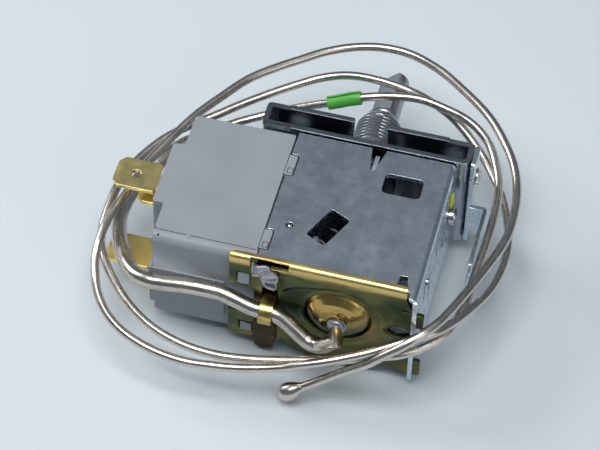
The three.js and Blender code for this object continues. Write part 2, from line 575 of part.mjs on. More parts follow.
function rangeSpring() {
  add('range_spring', tubeAlong(new SpringPath(), SPRING.wire, 6, 110), 'springSteel');
  const plate = join(
    box([36.3, 40.7], [12.3, 25.2], [CARRIER_Z, CARRIER_Z + SHEET]),
    box([29.9, 40.7], [21.6, 25.2], [CARRIER_Z, CARRIER_Z + SHEET]),
  );
  const nose = box(
    [AXIS.x - 0.9, AXIS.x + 0.9],
    [CAM.from - 0.2, CAM.to + 0.2],
    [CARRIER_Z + 0.4, AXIS.z - CAM.base - 0.15],
  );
  add('spring_carrier', cut(
    join(plate, nose),
    rodZ(SPRING.x, SPRING.y, 1 + FIT, [4, 8], 16),
    rodZ(39.0, 23.4, 0.8 + FIT, [4, 8], 16),
  ), 'zincSteel');
  add('carrier_guide_pin', rodZ(39.0, 23.4, 0.8, [BODY_BOTTOM + SHEET + FIT, 12], 16), 'brightSteel');
  const head = rodZ(SPRING.x, SPRING.y, 1.9, [4.3, CARRIER_Z - FIT], 20);
  const shank = rodZ(SPRING.x, SPRING.y, 1, [5, 7.1], 16);
  const slot = box([SPRING.x - 3, SPRING.x + 3], [SPRING.y - 0.25, SPRING.y + 0.25], [4, 4.8]);
  add('range_screw', cut(join(head, shank), slot), 'brightSteel');
}

function differentialScrew() {
  const { y, z } = SCREW;
  const head = rodX(y, z, 1.5, [FRAME_RIGHT + FIT, FRAME_RIGHT + 1.3], 20);
  const shank = rodX(y, z, 1, [42, FRAME_RIGHT + 0.5], 16);
  const slot = box([FRAME_RIGHT + 0.8, FRAME_RIGHT + 2], [y - 0.25, y + 0.25], [z - 3, z + 3]);
  add('differential_screw', cut(join(head, shank), slot), 'brightSteel');
  const drop = new THREE.SphereGeometry(1, 14, 10);
  drop.scale(0.6, 1.3, 1.9);
  drop.translate(FRAME_RIGHT + FIT, y + 0.6, z + 3.5);
  const outside = box([FRAME_RIGHT + FIT, FRAME_RIGHT + 3], [y - 4, y + 5], [z, z + 8]);
  add('lock_lacquer', solid(drop).intersect(outside), 'lacquer');
}

// ---------------------------------------------------------------- spindle, cam and bushing
function camOutline() {
  const rise = 1.5 * Math.PI;
  const dwell = rise + 0.25;
  const shape = new THREE.Shape();
  const steps = 40;
  for (let i = 0; i < steps; i += 1) {
    const turned = (2 * Math.PI * i) / steps;
    const back = (2 * Math.PI - turned) / (2 * Math.PI - dwell);
    const lift = turned < rise ? turned / rise : Math.min(1, back);
    const r = CAM.base + CAM.lift * lift;
    const angle = turned - Math.PI / 2;
    const [x, z] = [AXIS.x + r * Math.cos(angle), AXIS.z + r * Math.sin(angle)];
    if (i === 0) shape.moveTo(x, z);
    else shape.lineTo(x, z);
  }
  return shape;
}

const SPINDLE = { journal: 2.0, shaft: 2.5, knob: 2.75, tip: 53.5, flat: 1.05, flatLength: 9 };
const BUSHING = {
  bore: 2.55, shank: 4.2, crest: 4.1, root: 3.7, threadFrom: 35.9, threadTo: 41.9, end: 43.2,
};

function spindle() {
  const { journal, shaft, knob, tip, flat, flatLength } = SPINDLE;
  const turned = turnedY([
    [0, 20.6], [journal, 20.6], [journal, 25.4], [shaft, 25.4], [shaft, 43.5], [knob, 43.8],
    [knob, tip - 0.5], [knob - 0.4, tip], [0, tip],
  ], AXIS.x, AXIS.z, 28);
  // The knob's flat faces up towards the terminal end and runs out in a short slope.
  const start = tip - flatLength;
  const milled = plateZ(outline([
    [-flat - 3, start - 0.5], [-flat, start], [-flat, tip + 1], [-flat - 3, tip + 1],
  ]), [-4, 4]).rotate([0, 45, 0]).translate([AXIS.x, 0, AXIS.z]);
  add('spindle', cut(turned, milled), 'zincSteel');
  const cam = cut(
    plateY(camOutline(), [CAM.from, CAM.to]),
    rodY(AXIS.x, AXIS.z, journal + 0.02, [CAM.from - 1, CAM.to + 1], 28),
  );
  add('control_cam', cam, 'darkPlastic');
  const clip = cut(
    rodY(AXIS.x, AXIS.z, 4.0, [26.2, 26.8], 24),
    rodY(AXIS.x, AXIS.z, shaft + 0.02, [26, 27], 28),
    box([AXIS.x - 1.6, AXIS.x + 1.6], [26, 27], [AXIS.z + 1.5, AXIS.z + 6]),
  );
  add('spindle_circlip', clip, 'springSteel');
}

function threadedBushing() {
  const { bore, shank, crest, root, threadFrom, threadTo, end } = BUSHING;
  const turns = 8;
  const pitch = (threadTo - threadFrom) / turns;
  const profile = [[bore, 27.4], [5.6, 27.4], [5.6, 28.5], [shank, 28.5], [shank, threadFrom - 0.2]];
  for (let i = 0; i < turns; i += 1) {
    profile.push([root, threadFrom + i * pitch], [crest, threadFrom + (i + 0.5) * pitch]);
  }
  profile.push([root, threadTo], [3.0, end], [bore, end]);
  add('threaded_bushing', turnedY(profile, AXIS.x, AXIS.z, 28), 'zincSteel');
}

// ---------------------------------------------------------------- mounting bracket and earth tab
function mountingBracket() {
  const { left, right, top, webBottom, faceY } = BRACKET;
  const web = cut(
    box([left, right], [WEB_Y, WEB_Y + BRACKET_T], [webBottom, top]),
    rodY(AXIS.x, AXIS.z, BUSHING.shank + FIT, [WEB_Y - 1, WEB_Y + 2], 28),
  );
  const rivetBore = rodX(31.2, 18, 1 + FIT, [right - 3, right + 3], 16);
  const legs = [[left, left + BRACKET_T], [right - BRACKET_T, right]]
    .map((x) => box(x, [WEB_Y, faceY], [webBottom, top]));
  const flanges = [[left, 28.7], [34.6, right]]
    .map((x) => box(x, [faceY - BRACKET_T, faceY], [0, top]));
  const drilled = [-HOLE_SPACING / 2, HOLE_SPACING / 2]
    .map((dx) => rodY(AXIS.x + dx, AXIS.z, M4_TAPPING_R, [faceY - 3, faceY + 1], 20));
  const relief = rodY(AXIS.x, AXIS.z, 4.8, [faceY - 2, faceY + 1], 32);
  add('mounting_bracket', cut(join(web, ...legs, ...flanges), ...drilled, relief, rivetBore), 'zincSteel');
}

function earthTerminal() {
  const inner = BRACKET.right + 0.1;
  const backing = box([inner, inner + TAB_T], [28.4, 33.4], [3.2, BRACKET.top]);
  const bladeX = [53.0, 53.0 + TAB_T];
  const bladeZ = [6.5, 6.5 + TAB_W];
  const jog = box([inner, bladeX[1]], [28.4, 28.4 + TAB_T], bladeZ);
  const c = 1.1;
  const shape = outline([
    [15.2, bladeZ[0] + c], [15.2 + c, bladeZ[0]], [28.8, bladeZ[0]],
    [28.8, bladeZ[1]], [15.2 + c, bladeZ[1]], [15.2, bladeZ[1] - c],
  ]);
  add('earth_terminal', cut(
    join(backing, jog, plateX(shape, bladeX)),
    rodX(18.4, (bladeZ[0] + bladeZ[1]) / 2, TAB_HOLE_R, [52, 55], 16),
    rodX(31.2, 18, 1 + FIT, [BRACKET.right - 3, BRACKET.right + 3], 16),
  ), 'brightSteel');
  add('earth_rivet', join(
    rodX(31.2, 18, 1, [BRACKET.right - BRACKET_T - 0.3, inner + TAB_T + 0.3], 16),
    rodX(31.2, 18, 1.6, [inner + TAB_T + FIT, inner + TAB_T + 0.7], 20),
  ), 'brightSteel');
}

switchHousing();
housingCover();
terminals();
contacts();
steelFrame();
elementPlate();
stemClip();
sensingElement();
sensingTube();
leverTrain();
rangeSpring();
differentialScrew();
spindle();
threadedBushing();
mountingBracket();
earthTerminal();

export default thermostat;
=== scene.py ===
import math

import bmesh
import bpy
from mathutils import Matrix, Vector, noise


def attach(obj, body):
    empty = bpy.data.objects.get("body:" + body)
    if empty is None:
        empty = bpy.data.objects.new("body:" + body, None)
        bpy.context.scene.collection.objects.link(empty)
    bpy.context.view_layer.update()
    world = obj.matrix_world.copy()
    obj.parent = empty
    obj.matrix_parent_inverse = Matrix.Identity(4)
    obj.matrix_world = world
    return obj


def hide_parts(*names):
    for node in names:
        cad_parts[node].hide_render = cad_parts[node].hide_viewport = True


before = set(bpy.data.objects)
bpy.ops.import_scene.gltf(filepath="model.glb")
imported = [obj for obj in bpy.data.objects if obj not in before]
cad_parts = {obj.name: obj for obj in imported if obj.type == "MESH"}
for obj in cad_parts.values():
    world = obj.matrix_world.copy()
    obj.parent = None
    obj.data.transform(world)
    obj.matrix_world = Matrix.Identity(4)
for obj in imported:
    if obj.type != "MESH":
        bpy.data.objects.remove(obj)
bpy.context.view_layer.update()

# Lengths below are in millimetres from the corner under the housing's terminal end; the frame's
# origin is the middle of the footprint, in metres.
ORIGIN = Vector((22.65, 24.2, 0))
MM = 0.001
TO_ROW = Matrix.Scale(MM, 4) @ Matrix.Translation(-ORIGIN)
# The spindle's axis, the middle of the dish and the top of the body.
AXIS_X, AXIS_Z = 31.65, 13.2
DISH_X, DISH_Z = 34.4, 14.0
BODY_TOP = 23.4
# Each switch blade: along x, y and z, and its hole's distance from the tip.
BLADES = {
    "1": ((-8.7, -1.1), (11.6, 17.9), (19.5, 20.3), 3.7),
    "2": ((-4.3, -0.7), (11.4, 17.7), (16.6, 17.4), None),
    "3": ((-8.5, -0.6), (5.3, 11.6), (6.6, 7.4), 2.9),
}
BLADE_HOLE_R = 0.85


def at(x, y, z):
    """A place in millimetres, in the frame's metres."""
    return TO_ROW @ Vector((x, y, z))


# ---------------------------------------------------------------- camera, floor and light
def aim_camera():
    """A long lens that looks down from the front right, a little rolled."""
    place, lens = at(87.4, -257.8, 367.5), 158.3
    lift, turn, roll = (math.radians(a) for a in (51.5, 13.12, 1.69))
    right = Vector((math.cos(turn), math.sin(turn), 0))
    up = Vector((-math.sin(turn) * math.sin(lift), math.cos(turn) * math.sin(lift), math.cos(lift)))
    back = right.cross(up)
    side = right * math.cos(roll) + up * math.sin(roll)
    head = up * math.cos(roll) - right * math.sin(roll)
    camera = bpy.data.objects.new("camera", bpy.data.cameras.new("camera"))
    bpy.context.scene.collection.objects.link(camera)
    camera.data.sensor_width = 36
    camera.data.lens = lens
    camera.data.clip_start = 0.01
    turned = Matrix((side, head, back)).transposed().to_4x4()
    camera.matrix_world = Matrix.Translation(place) @ turned
    bpy.context.scene.camera = camera
    bpy.context.scene.view_settings.view_transform = "Standard"


def softbox(name, position, size, power):
    """A soft area light that faces the middle of the body."""
    middle = Vector((0, 0, 0.01))
    light = bpy.data.lights.new(name, "AREA")
    light.shape = "RECTANGLE"
    light.size, light.size_y = size
    light.energy = power
    lamp = bpy.data.objects.new(name, light)
    bpy.context.scene.collection.objects.link(lamp)
    lamp.location = position
    lamp.rotation_euler = (Vector(position) - middle).to_track_quat("Z", "Y").to_euler()


def room():
    """Light from all round: bright overhead and darker towards the walls."""
    low, wall, ceiling = (0.34, 0.40, 0.46), (0.22, 0.26, 0.31), (0.86, 0.90, 0.94)
    world = bpy.data.worlds.new("studio")
    world.use_nodes = True
    tree = world.node_tree
    direction = tree.nodes.new("ShaderNodeTexCoord").outputs["Generated"]
    split = tree.nodes.new("ShaderNodeSeparateXYZ")
    ramp = tree.nodes.new("ShaderNodeValToRGB")
    tree.links.new(direction, split.inputs[0])
    tree.links.new(split.outputs["Z"], ramp.inputs["Fac"])
    tree.links.new(ramp.outputs["Color"], tree.nodes["Background"].inputs["Color"])
    elements = ramp.color_ramp.elements
    elements.new(0.5)
    for element, (place, color) in zip(elements, ((0.0, low), (0.72, wall), (0.97, ceiling))):
        element.position = place
        element.color = (*color, 1)
    tree.nodes["Background"].inputs["Strength"].default_value = 0.40
    bpy.context.scene.world = world


def ground():
    """A wide pale floor."""
    half = 1.2
    corners = [(-half, -half, 0), (half, -half, 0), (half, half, 0), (-half, half, 0)]
    mesh = bpy.data.meshes.new("floor")
    mesh.from_pydata(corners, [], [(0, 1, 2, 3)])
    floor = bpy.data.objects.new("floor", mesh)
    bpy.context.scene.collection.objects.link(floor)
    paper = Look("paper", (0.58, 0.64, 0.68), 0.75)
    paper.bump(paper.noise(900, 3), 0.05, 0.0001)
    mesh.materials.append(paper.material)


def studio():
    aim_camera()
    softbox("overhead", (-0.02, -0.14, 0.62), (0.42, 0.30), 2.9)
    softbox("key", (-0.52, 0.10, 0.40), (0.26, 0.30), 2.0)
    softbox("fill", (0.5, -0.35, 0.35), (0.35, 0.5), 0.6)
    room()
    ground()


# ---------------------------------------------------------------- materials
class Look:
    """A procedural material: textures lie in the object's own coordinates, in metres."""

    def __init__(self, name, color, roughness, metallic=0.0, **sockets):
        self.material = bpy.data.materials.new(name)
        self.material.use_nodes = True
        self.tree = self.material.node_tree
        self.shader = self.tree.nodes["Principled BSDF"]
        self.shader.inputs["Base Color"].default_value = (*color, 1)
        self.shader.inputs["Roughness"].default_value = roughness
        self.shader.inputs["Metallic"].default_value = metallic
        for socket, value in sockets.items():
            self.shader.inputs[socket.replace("_", " ")].default_value = value
        self.coordinates = self.tree.nodes.new("ShaderNodeTexCoord").outputs["Object"]
        self.last_normal = None

    def node(self, kind, **inputs):
        made = self.tree.nodes.new(kind)
        for name, value in inputs.items():
            socket = made.inputs[name.replace("_", " ")]
            if isinstance(value, bpy.types.NodeSocket):
                self.tree.links.new(value, socket)
            else:
                socket.default_value = value
        return made

    def stretched(self, stretch, turn=0.0):
        mapping = self.node("ShaderNodeMapping", Vector=self.coordinates)
        mapping.inputs["Scale"].default_value = stretch
        mapping.inputs["Rotation"].default_value = (0, 0, turn)
        return mapping.outputs["Vector"]

    def noise(self, scale, detail=2, stretch=(1, 1, 1), turn=0.0, rough=0.5):
        where = self.stretched(stretch, turn)
        made = self.node("ShaderNodeTexNoise", Vector=where, Scale=scale, Detail=detail, Roughness=rough)
        return made.outputs["Factor" if "Factor" in made.outputs else "Fac"]

    def cells(self, scale, stretch=(1, 1, 1), turn=0.0, feature="F1"):
        made = self.node("ShaderNodeTexVoronoi", Vector=self.stretched(stretch, turn), Scale=scale)
        made.feature = feature
        return made.outputs["Distance"]

    def ramp(self, factor, *stops):
        made = self.node("ShaderNodeValToRGB", Fac=factor)
        elements = made.color_ramp.elements
        while len(elements) < len(stops):
            elements.new(0.5)
        for element, (place, value) in zip(elements, stops):
            element.position = place
            element.color = (*value, 1) if isinstance(value, tuple) else (value, value, value, 1)
        return made.outputs["Color"]

    def mix(self, factor, a, b, blend="MIX"):
        made = self.tree.nodes.new("ShaderNodeMix")
        made.data_type = "RGBA"
        made.blend_type = blend
        for socket, value in ((made.inputs[0], factor), (made.inputs[6], a), (made.inputs[7], b)):
            if isinstance(value, bpy.types.NodeSocket):
                self.tree.links.new(value, socket)
            else:
                socket.default_value = (*value, 1) if isinstance(value, tuple) else value
        return made.outputs[2]

    def set(self, socket, source):
        self.tree.links.new(source, self.shader.inputs[socket])

    def bump(self, height, strength, distance):
        made = self.node("ShaderNodeBump", Height=height, Strength=strength, Distance=distance)
        if self.last_normal is not None:
            self.tree.links.new(self.last_normal, made.inputs["Normal"])
        self.last_normal = made.outputs["Normal"]
        self.set("Normal", self.last_normal)


def scaled(color, factor):
    return tuple(min(1, c * factor) for c in color)


def rolled_metal(name, light, dark, roughness, scratches=0.5, stretch=(60, 900, 900), turn=0.0):
    """Rolled sheet: drawn grain one way, soft stains, and bright hairline scratches."""
    look = Look(name, light, roughness[0], 1.0)
    grain = look.noise(1, 5, stretch, turn, 0.65)
    stain = look.noise(160, 4, (1, 1, 1), 0.4)
    tone = look.mix(look.ramp(stain, (0.3, 0.0), (0.75, 1.0)), dark, light)
    tone = look.mix(look.ramp(grain, (0.35, 0.0), (0.8, 0.35)), tone, scaled(light, 1.35))
    lines = look.cells(1, (90, 1500, 1500), turn + 0.25, "DISTANCE_TO_EDGE")
    hair = look.ramp(lines, (0.0, 1.0), (0.012, 0.0))
    patch = look.ramp(look.noise(300, 2, (1, 1, 1), 0.7), (0.54, 0.0), (0.66, scratches))
    marks = look.mix(1.0, hair, patch, "MULTIPLY")
    look.set("Base Color", look.mix(marks, tone, (0.86, 0.88, 0.9)))
    low, high = roughness
    look.set("Roughness", look.ramp(look.noise(260, 5, (1, 1, 1), 1.1, 0.7), (0.3, low), (0.72, high)))
    look.bump(grain, 0.10, 0.00006)
    look.bump(look.noise(900, 3), 0.06, 0.00005)
    return look


# Heights on a material run over this many millimetres.
REACH = 30


def gilt(name, light, mid, deep, roughness=(0.2, 0.36), rose=(0.60, 0.36, 0.22), above=None):
    """Yellow chromate on zinc: gold that drifts to olive, green and rose in soft clouds."""
    look = Look(name, light, roughness[0], 1.0)
    cloud = look.noise(75, 3, (1, 1, 1.6), 0.3, 0.55)
    tone = look.ramp(cloud, (0.28, deep), (0.44, mid), (0.6, light), (0.78, rose))
    fine = look.noise(1, 4, (140, 900, 900), 0.0, 0.6)
    tone = look.mix(look.ramp(fine, (0.4, 0.0), (0.8, 0.3)), tone, scaled(light, 1.4))
    if above:
        # Painted highlight: from one height to another, in millimetres, the colour turns to a bright yellow that
        # stands in for overhead light on the upper faces.
        start, stop, highlight_tone = above
        place = look.stretched((1, 1, 1 / (REACH * MM)))
        height = look.node("ShaderNodeSeparateXYZ", Vector=place).outputs["Z"]
        share = look.ramp(height, (start / REACH, 0.0), (stop / REACH, 0.92))
        tone = look.mix(share, tone, highlight_tone)
    look.set("Base Color", tone)
    look.set("Roughness", look.ramp(look.noise(300, 4), (0.3, roughness[0]), (0.7, roughness[1])))
    look.bump(fine, 0.08, 0.00005)
    return look


def moulded(name, color, roughness=0.5, grain=0.25):
    """Moulded plastic: fine spark-eroded grain and faint flow clouds."""
    look = Look(name, color, roughness)
    cloud = look.noise(90, 3)
    share = look.ramp(cloud, (0.3, 0.0), (0.7, 1.0))
    look.set("Base Color", look.mix(share, scaled(color, 0.95), scaled(color, 1.07)))
    look.set("Roughness", look.ramp(look.noise(500, 4), (0.3, roughness - 0.06), (0.7, roughness + 0.07)))
    look.bump(look.noise(5200, 2), grain, 0.00003)
    look.bump(look.noise(240, 3), 0.12, 0.00005)
    return look


def drawn_tube(name, color, roughness):
    """Drawn tube: lengthwise haze, fingerprints and small nicks."""
    look = Look(name, color, roughness[0], 1.0)
    haze = look.noise(240, 4, (1, 1, 1), 0.2, 0.6)
    tone = look.mix(look.ramp(haze, (0.35, 0.0), (0.7, 1.0)), scaled(color, 0.92), color)
    spots = look.ramp(look.noise(900, 2), (0.74, 0.0), (0.84, 0.18))
    look.set("Base Color", look.mix(spots, tone, scaled(color, 0.55)))
    look.set("Roughness", look.ramp(look.noise(420, 5), (0.3, roughness[0]), (0.75, roughness[1])))
    look.bump(look.noise(1500, 3), 0.06, 0.00003)
    return look


studio()
ROUND_GRAIN = (500, 60, 500)
ZINC = rolled_metal("zinc_sheet", (0.73, 0.83, 0.92), (0.62, 0.71, 0.80), (0.22, 0.34), 0.5, turn=0.05)
# Painted shade: a darker copy of the zinc sheet, for the bracket's shaded walls.
ZINC_SHADED = rolled_metal("zinc_bracket_shaded", (0.50, 0.53, 0.57), (0.32, 0.36, 0.40), (0.14, 0.24), 0.25)
ZINC_DULL = rolled_metal("zinc_turned", (0.40, 0.42, 0.44), (0.28, 0.30, 0.32), (0.3, 0.42), 0.2, ROUND_GRAIN)
STEEL = rolled_metal("bright_steel", (0.68, 0.67, 0.66), (0.5, 0.5, 0.52), (0.16, 0.28), 0.3)
SPRING = rolled_metal("spring_steel", (0.45, 0.45, 0.45), (0.34, 0.34, 0.36), (0.2, 0.34), 0.2)
# Painted reflection and highlight: the face colours are dark and green to paint gold reflecting a blue ground, and
# from 22.1 to 22.9 mm the fold turns bright yellow as a painted highlight.
GILT = gilt("yellow_zinc", (0.16, 0.145, 0.055), (0.065, 0.095, 0.05), (0.035, 0.062, 0.04), (0.28, 0.42),
            rose=(0.34, 0.18, 0.08), above=(22.1, 22.9, (0.80, 0.60, 0.24)))
GILT_STRAP = gilt("yellow_zinc_strap", (0.72, 0.52, 0.18), (0.58, 0.44, 0.16), (0.36, 0.28, 0.10))
# Painted highlight and reflection: from 12 to 17.5 mm the dome's upper half turns bright gold as if lit from above,
# and its dark green colours paint gold reflecting a blue ground.
GILT_DOME = gilt("yellow_zinc_dome", (0.09, 0.11, 0.05), (0.07, 0.095, 0.05), (0.05, 0.075, 0.045), (0.15, 0.28),
                 rose=(0.24, 0.16, 0.07), above=(12.0, 17.5, (0.60, 0.40, 0.13)))
GILT_DARK = gilt("yellow_zinc_shaded", (0.06, 0.045, 0.025), (0.035, 0.03, 0.018), (0.02, 0.02, 0.012),
                 rose=(0.07, 0.05, 0.03))
ZINC_TAB = rolled_metal("zinc_tab", (0.46, 0.45, 0.50), (0.24, 0.24, 0.27), (0.16, 0.3), 0.2, (300,) * 3)
BRASS = rolled_metal("brass_blade", (1.0, 0.80, 0.34), (0.86, 0.69, 0.30), (0.26, 0.4), 0.25, (400,) * 3)
TUBE = drawn_tube("tube_metal", (0.66, 0.61, 0.55), (0.2, 0.32))
GREY = moulded("grey_housing", (0.25, 0.275, 0.30))
DARK = moulded("dark_plastic", (0.05, 0.05, 0.055), 0.55)
CARD = moulded("fish_paper", (0.012, 0.012, 0.013), 0.8)
CARD.shader.inputs["Specular IOR Level"].default_value = 0.15
GREEN = moulded("green_sleeve", (0.075, 0.37, 0.05), 0.35, 0.08)
LACQUER = Look("lacquer", (0.55, 0.56, 0.03), 0.2, 0.0, Coat_Weight=0.6, Coat_Roughness=0.1)
LACQUER.bump(LACQUER.noise(700, 2), 0.3, 0.0002)
SLOT = {
    **dict.fromkeys((ZINC, ZINC_SHADED, ZINC_DULL, ZINC_TAB), "zinc_steel"),
    **dict.fromkeys((GILT, GILT_STRAP, GILT_DOME, GILT_DARK), "yellow_zinc"),
    STEEL: "bright_steel", SPRING: "spring_steel", BRASS: "brass", TUBE: "tube_metal", GREY: "grey_plastic",
    DARK: "dark_plastic", CARD: "fish_paper", GREEN: "green_sleeve", LACQUER: "lacquer",
}


# ---------------------------------------------------------------- building pieces
def piece(name, mesh, look, nodes=(), body="frame", edge=0.0, smooth=35):
    """Puts a mesh in millimetres on a body, in place of the CAD nodes it stands for."""
    made = bmesh.new()
    made.from_mesh(mesh)
    bmesh.ops.remove_doubles(made, verts=made.verts, dist=0.0008)
    bmesh.ops.dissolve_limit(made, angle_limit=math.radians(0.4), verts=made.verts, edges=made.edges)
    made.to_mesh(mesh)
    made.free()
    mesh.transform(TO_ROW)
    mesh.materials.clear()
    mesh.materials.append(look.material)
    obj = bpy.data.objects.new(name, mesh)
    bpy.context.scene.collection.objects.link(obj)
    mesh.shade_smooth()
    mesh.set_sharp_from_angle(angle=math.radians(smooth))
    if edge:
        soften(obj, edge)
    settle(obj)
    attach(obj, body)
    if nodes:
        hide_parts(*nodes)
    return obj


def soften(obj, edge, segments=2):
    bevel = obj.modifiers.new("edges", "BEVEL")
    bevel.width = edge * MM
    bevel.segments = segments
    bevel.limit_method = "ANGLE"
    bevel.angle_limit = math.radians(32)
    bevel.harden_normals = True


def settle(obj):
    """Shades large flats flat, with the turn kept to the narrow faces at their edges."""
    weighted = obj.modifiers.new("shade", "WEIGHTED_NORMAL")
    weighted.keep_sharp = True
    weighted.weight = 80


def keep(look, *nodes, edge=0.08):
    """Finishes CAD nodes whose shape is right: broken edges and a real surface."""
    for node in nodes:
        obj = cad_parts[node]
        obj.data.materials.clear()
        obj.data.materials.append(look.material)
        weld = obj.modifiers.new("weld", "WELD")
        weld.merge_threshold = 0.000002
        flat = obj.modifiers.new("flat", "DECIMATE")
        flat.decimate_type = "DISSOLVE"
        flat.angle_limit = math.radians(1)
        soften(obj, edge)
        obj.data.shade_smooth()
        obj.data.set_sharp_from_angle(angle=math.radians(32))
        settle(obj)


def evaluated(obj):
    """The object's mesh with its modifiers applied; the object itself is removed."""
    bpy.context.view_layer.update()
    mesh = bpy.data.meshes.new_from_object(obj.evaluated_get(bpy.context.evaluated_depsgraph_get()))
    bpy.data.objects.remove(obj)
    return mesh


def loose(mesh_or_curve):
    obj = bpy.data.objects.new("working", mesh_or_curve)
    bpy.context.scene.collection.objects.link(obj)
    return obj


def finished(made, name):
    """The mesh of a bmesh, which is freed."""
    mesh = bpy.data.meshes.new(name)
    made.to_mesh(mesh)
    made.free()
    return mesh


# Turns that lay the z axis of a blank along each axis.
TURNS = {
    "z": Matrix.Identity(4),
    "y": Matrix(((1, 0, 0, 0), (0, 0, -1, 0), (0, 1, 0, 0), (0, 0, 0, 1))),
    "x": Matrix(((0, 0, 1, 0), (1, 0, 0, 0), (0, 1, 0, 0), (0, 0, 0, 1))),
}


CUTTER_EDGE = 0.01


def prism(outline, low, high, axis="z", holes=(), edge=0.12):
    """A flat blank from low to high along an axis, with rolled-over edges. Its outline lies across the axis."""
    curve = bpy.data.curves.new("blank", "CURVE")
    curve.dimensions = "2D"
    curve.fill_mode = "BOTH"
    for loop in (outline, *holes):
        spline = curve.splines.new("POLY")
        spline.points.add(len(loop) - 1)
        for point, (u, v) in zip(spline.points, loop):
            point.co = (u, v, 0, 1)
        spline.use_cyclic_u = True
    curve.extrude = (high - low) / 2 - edge
    curve.bevel_depth = edge
    curve.bevel_resolution = 1
    curve.offset = -edge
    mesh = evaluated(loose(curve))
    middle = (low + high) / 2
    shift = {"z": (0, 0, middle), "y": (0, middle, 0), "x": (middle, 0, 0)}[axis]
    mesh.transform(Matrix.Translation(shift) @ TURNS[axis])
    return mesh


def fillet(points, radius, steps=4):
    """The outline with its corners rounded; radius is one number or one per corner."""
    made = []
    count = len(points)
    for i, corner in enumerate(points):
        r = radius[i] if isinstance(radius, list) else radius
        here = Vector(corner)
        before, after = Vector(points[i - 1]) - here, Vector(points[(i + 1) % count]) - here
        into, out = before.normalized(), after.normalized()
        opening = into.angle(out)
        if r <= 0 or opening > 3.1:
            made.append(tuple(here))
            continue
        reach = min(r / math.tan(opening / 2), before.length / 2.02, after.length / 2.02)
        a, b = here + into * reach, here + out * reach
        for k in range(steps + 1):
            t = k / steps
            made.append(tuple(a * (1 - t) ** 2 + here * 2 * t * (1 - t) + b * t ** 2))
    return made


def ring(cx, cy, r, count=32, squash=1.0):
    angles = (2 * math.pi * i / count for i in range(count))
    return [(cx + r * math.cos(a), cy + squash * r * math.sin(a)) for a in angles]


def arc(cx, cy, r, start, end, steps=8):
    angles = (start + (end - start) * k / steps for k in range(steps + 1))
    return [(cx + r * math.cos(a), cy + r * math.sin(a)) for a in angles]


def box(x0, x1, y0, y1):
    """A rectangle's corners, anticlockwise."""
    return [(x0, y0), (x1, y0), (x1, y1), (x0, y1)]


def block(x, y, z):
    """A cutter or filler block, in millimetres."""
    made = bmesh.new()
    bmesh.ops.create_cube(made, size=1)
    size = Vector((x[1] - x[0], y[1] - y[0], z[1] - z[0]))
    middle = Vector((x[0] + x[1], y[0] + y[1], z[0] + z[1])) / 2
    place = Matrix.Translation(middle) @ Matrix.Diagonal((*size, 1))
    bmesh.ops.transform(made, matrix=place, verts=made.verts)
    return finished(made, "block")


def drill(axis, u, v, r, low, high, count=28):
    """A round cutter along an axis."""
    return prism(ring(u, v, r, count), low, high, axis, (), CUTTER_EDGE)


def carve(mesh, cutters, operation="DIFFERENCE"):
    """The mesh less its cutters, or joined with them."""
    for cutter in cutters:
        obj, tool = loose(mesh), loose(cutter)
        modifier = obj.modifiers.new("cut", "BOOLEAN")
        modifier.operation = operation
        modifier.object = tool
        modifier.solver = "EXACT"
        mesh = evaluated(obj)
        bpy.data.objects.remove(tool)
    return mesh


def closed_skin(made, rows):
    """Faces between each closed row of points and the next, all the way round."""
    count = len(rows[0])
    for now, then in zip(rows, rows[1:] + rows[:1]):
        for k in range(count):
            following = (k + 1) % count
            made.faces.new((now[k], now[following], then[following], then[k]))


def turned(profile, x, z, segments=64):
    """A closed (radius, y) profile turned about a line along y."""
    made = bmesh.new()
    rows = []
    for i in range(segments):
        a = 2 * math.pi * i / segments
        rows.append([made.verts.new((x + r * math.cos(a), y, z + r * math.sin(a))) for r, y in profile])
    closed_skin(made, rows)
    bmesh.ops.remove_doubles(made, verts=made.verts, dist=0.0005)
    bmesh.ops.recalc_face_normals(made, faces=made.faces)
    return finished(made, "turned")


def headed(profile, y, z):
    """A small (radius, x) profile turned about a line along x."""
    mesh = turned(profile, 0, 0, 40)
    mesh.transform(Matrix.Translation((0, y, z)) @ Matrix.Rotation(-math.pi / 2, 4, "Z"))
    return mesh


def smooth_route(points, per_span=8):
    """A centripetal Catmull-Rom line through the points, as the CAD's tube follows."""
    knots = [Vector(p) for p in points]
    knots = [knots[0] * 2 - knots[1], *knots, knots[-1] * 2 - knots[-2]]
    line = []
    for p0, p1, p2, p3 in zip(knots, knots[1:], knots[2:], knots[3:]):
        t0 = 0.0
        t1 = t0 + math.sqrt((p1 - p0).length)
        t2 = t1 + math.sqrt((p2 - p1).length)
        t3 = t2 + math.sqrt((p3 - p2).length)
        for k in range(per_span):
            t = t1 + (t2 - t1) * k / per_span
            a1 = p0 * ((t1 - t) / (t1 - t0)) + p1 * ((t - t0) / (t1 - t0))
            a2 = p1 * ((t2 - t) / (t2 - t1)) + p2 * ((t - t1) / (t2 - t1))
            a3 = p2 * ((t3 - t) / (t3 - t2)) + p3 * ((t - t2) / (t3 - t2))
            b1 = a1 * ((t2 - t) / (t2 - t0)) + a2 * ((t - t0) / (t2 - t0))
            b2 = a2 * ((t3 - t) / (t3 - t1)) + a3 * ((t - t1) / (t3 - t1))
            line.append(b1 * ((t2 - t) / (t2 - t1)) + b2 * ((t - t1) / (t2 - t1)))
    return [*line, Vector(points[-1])]


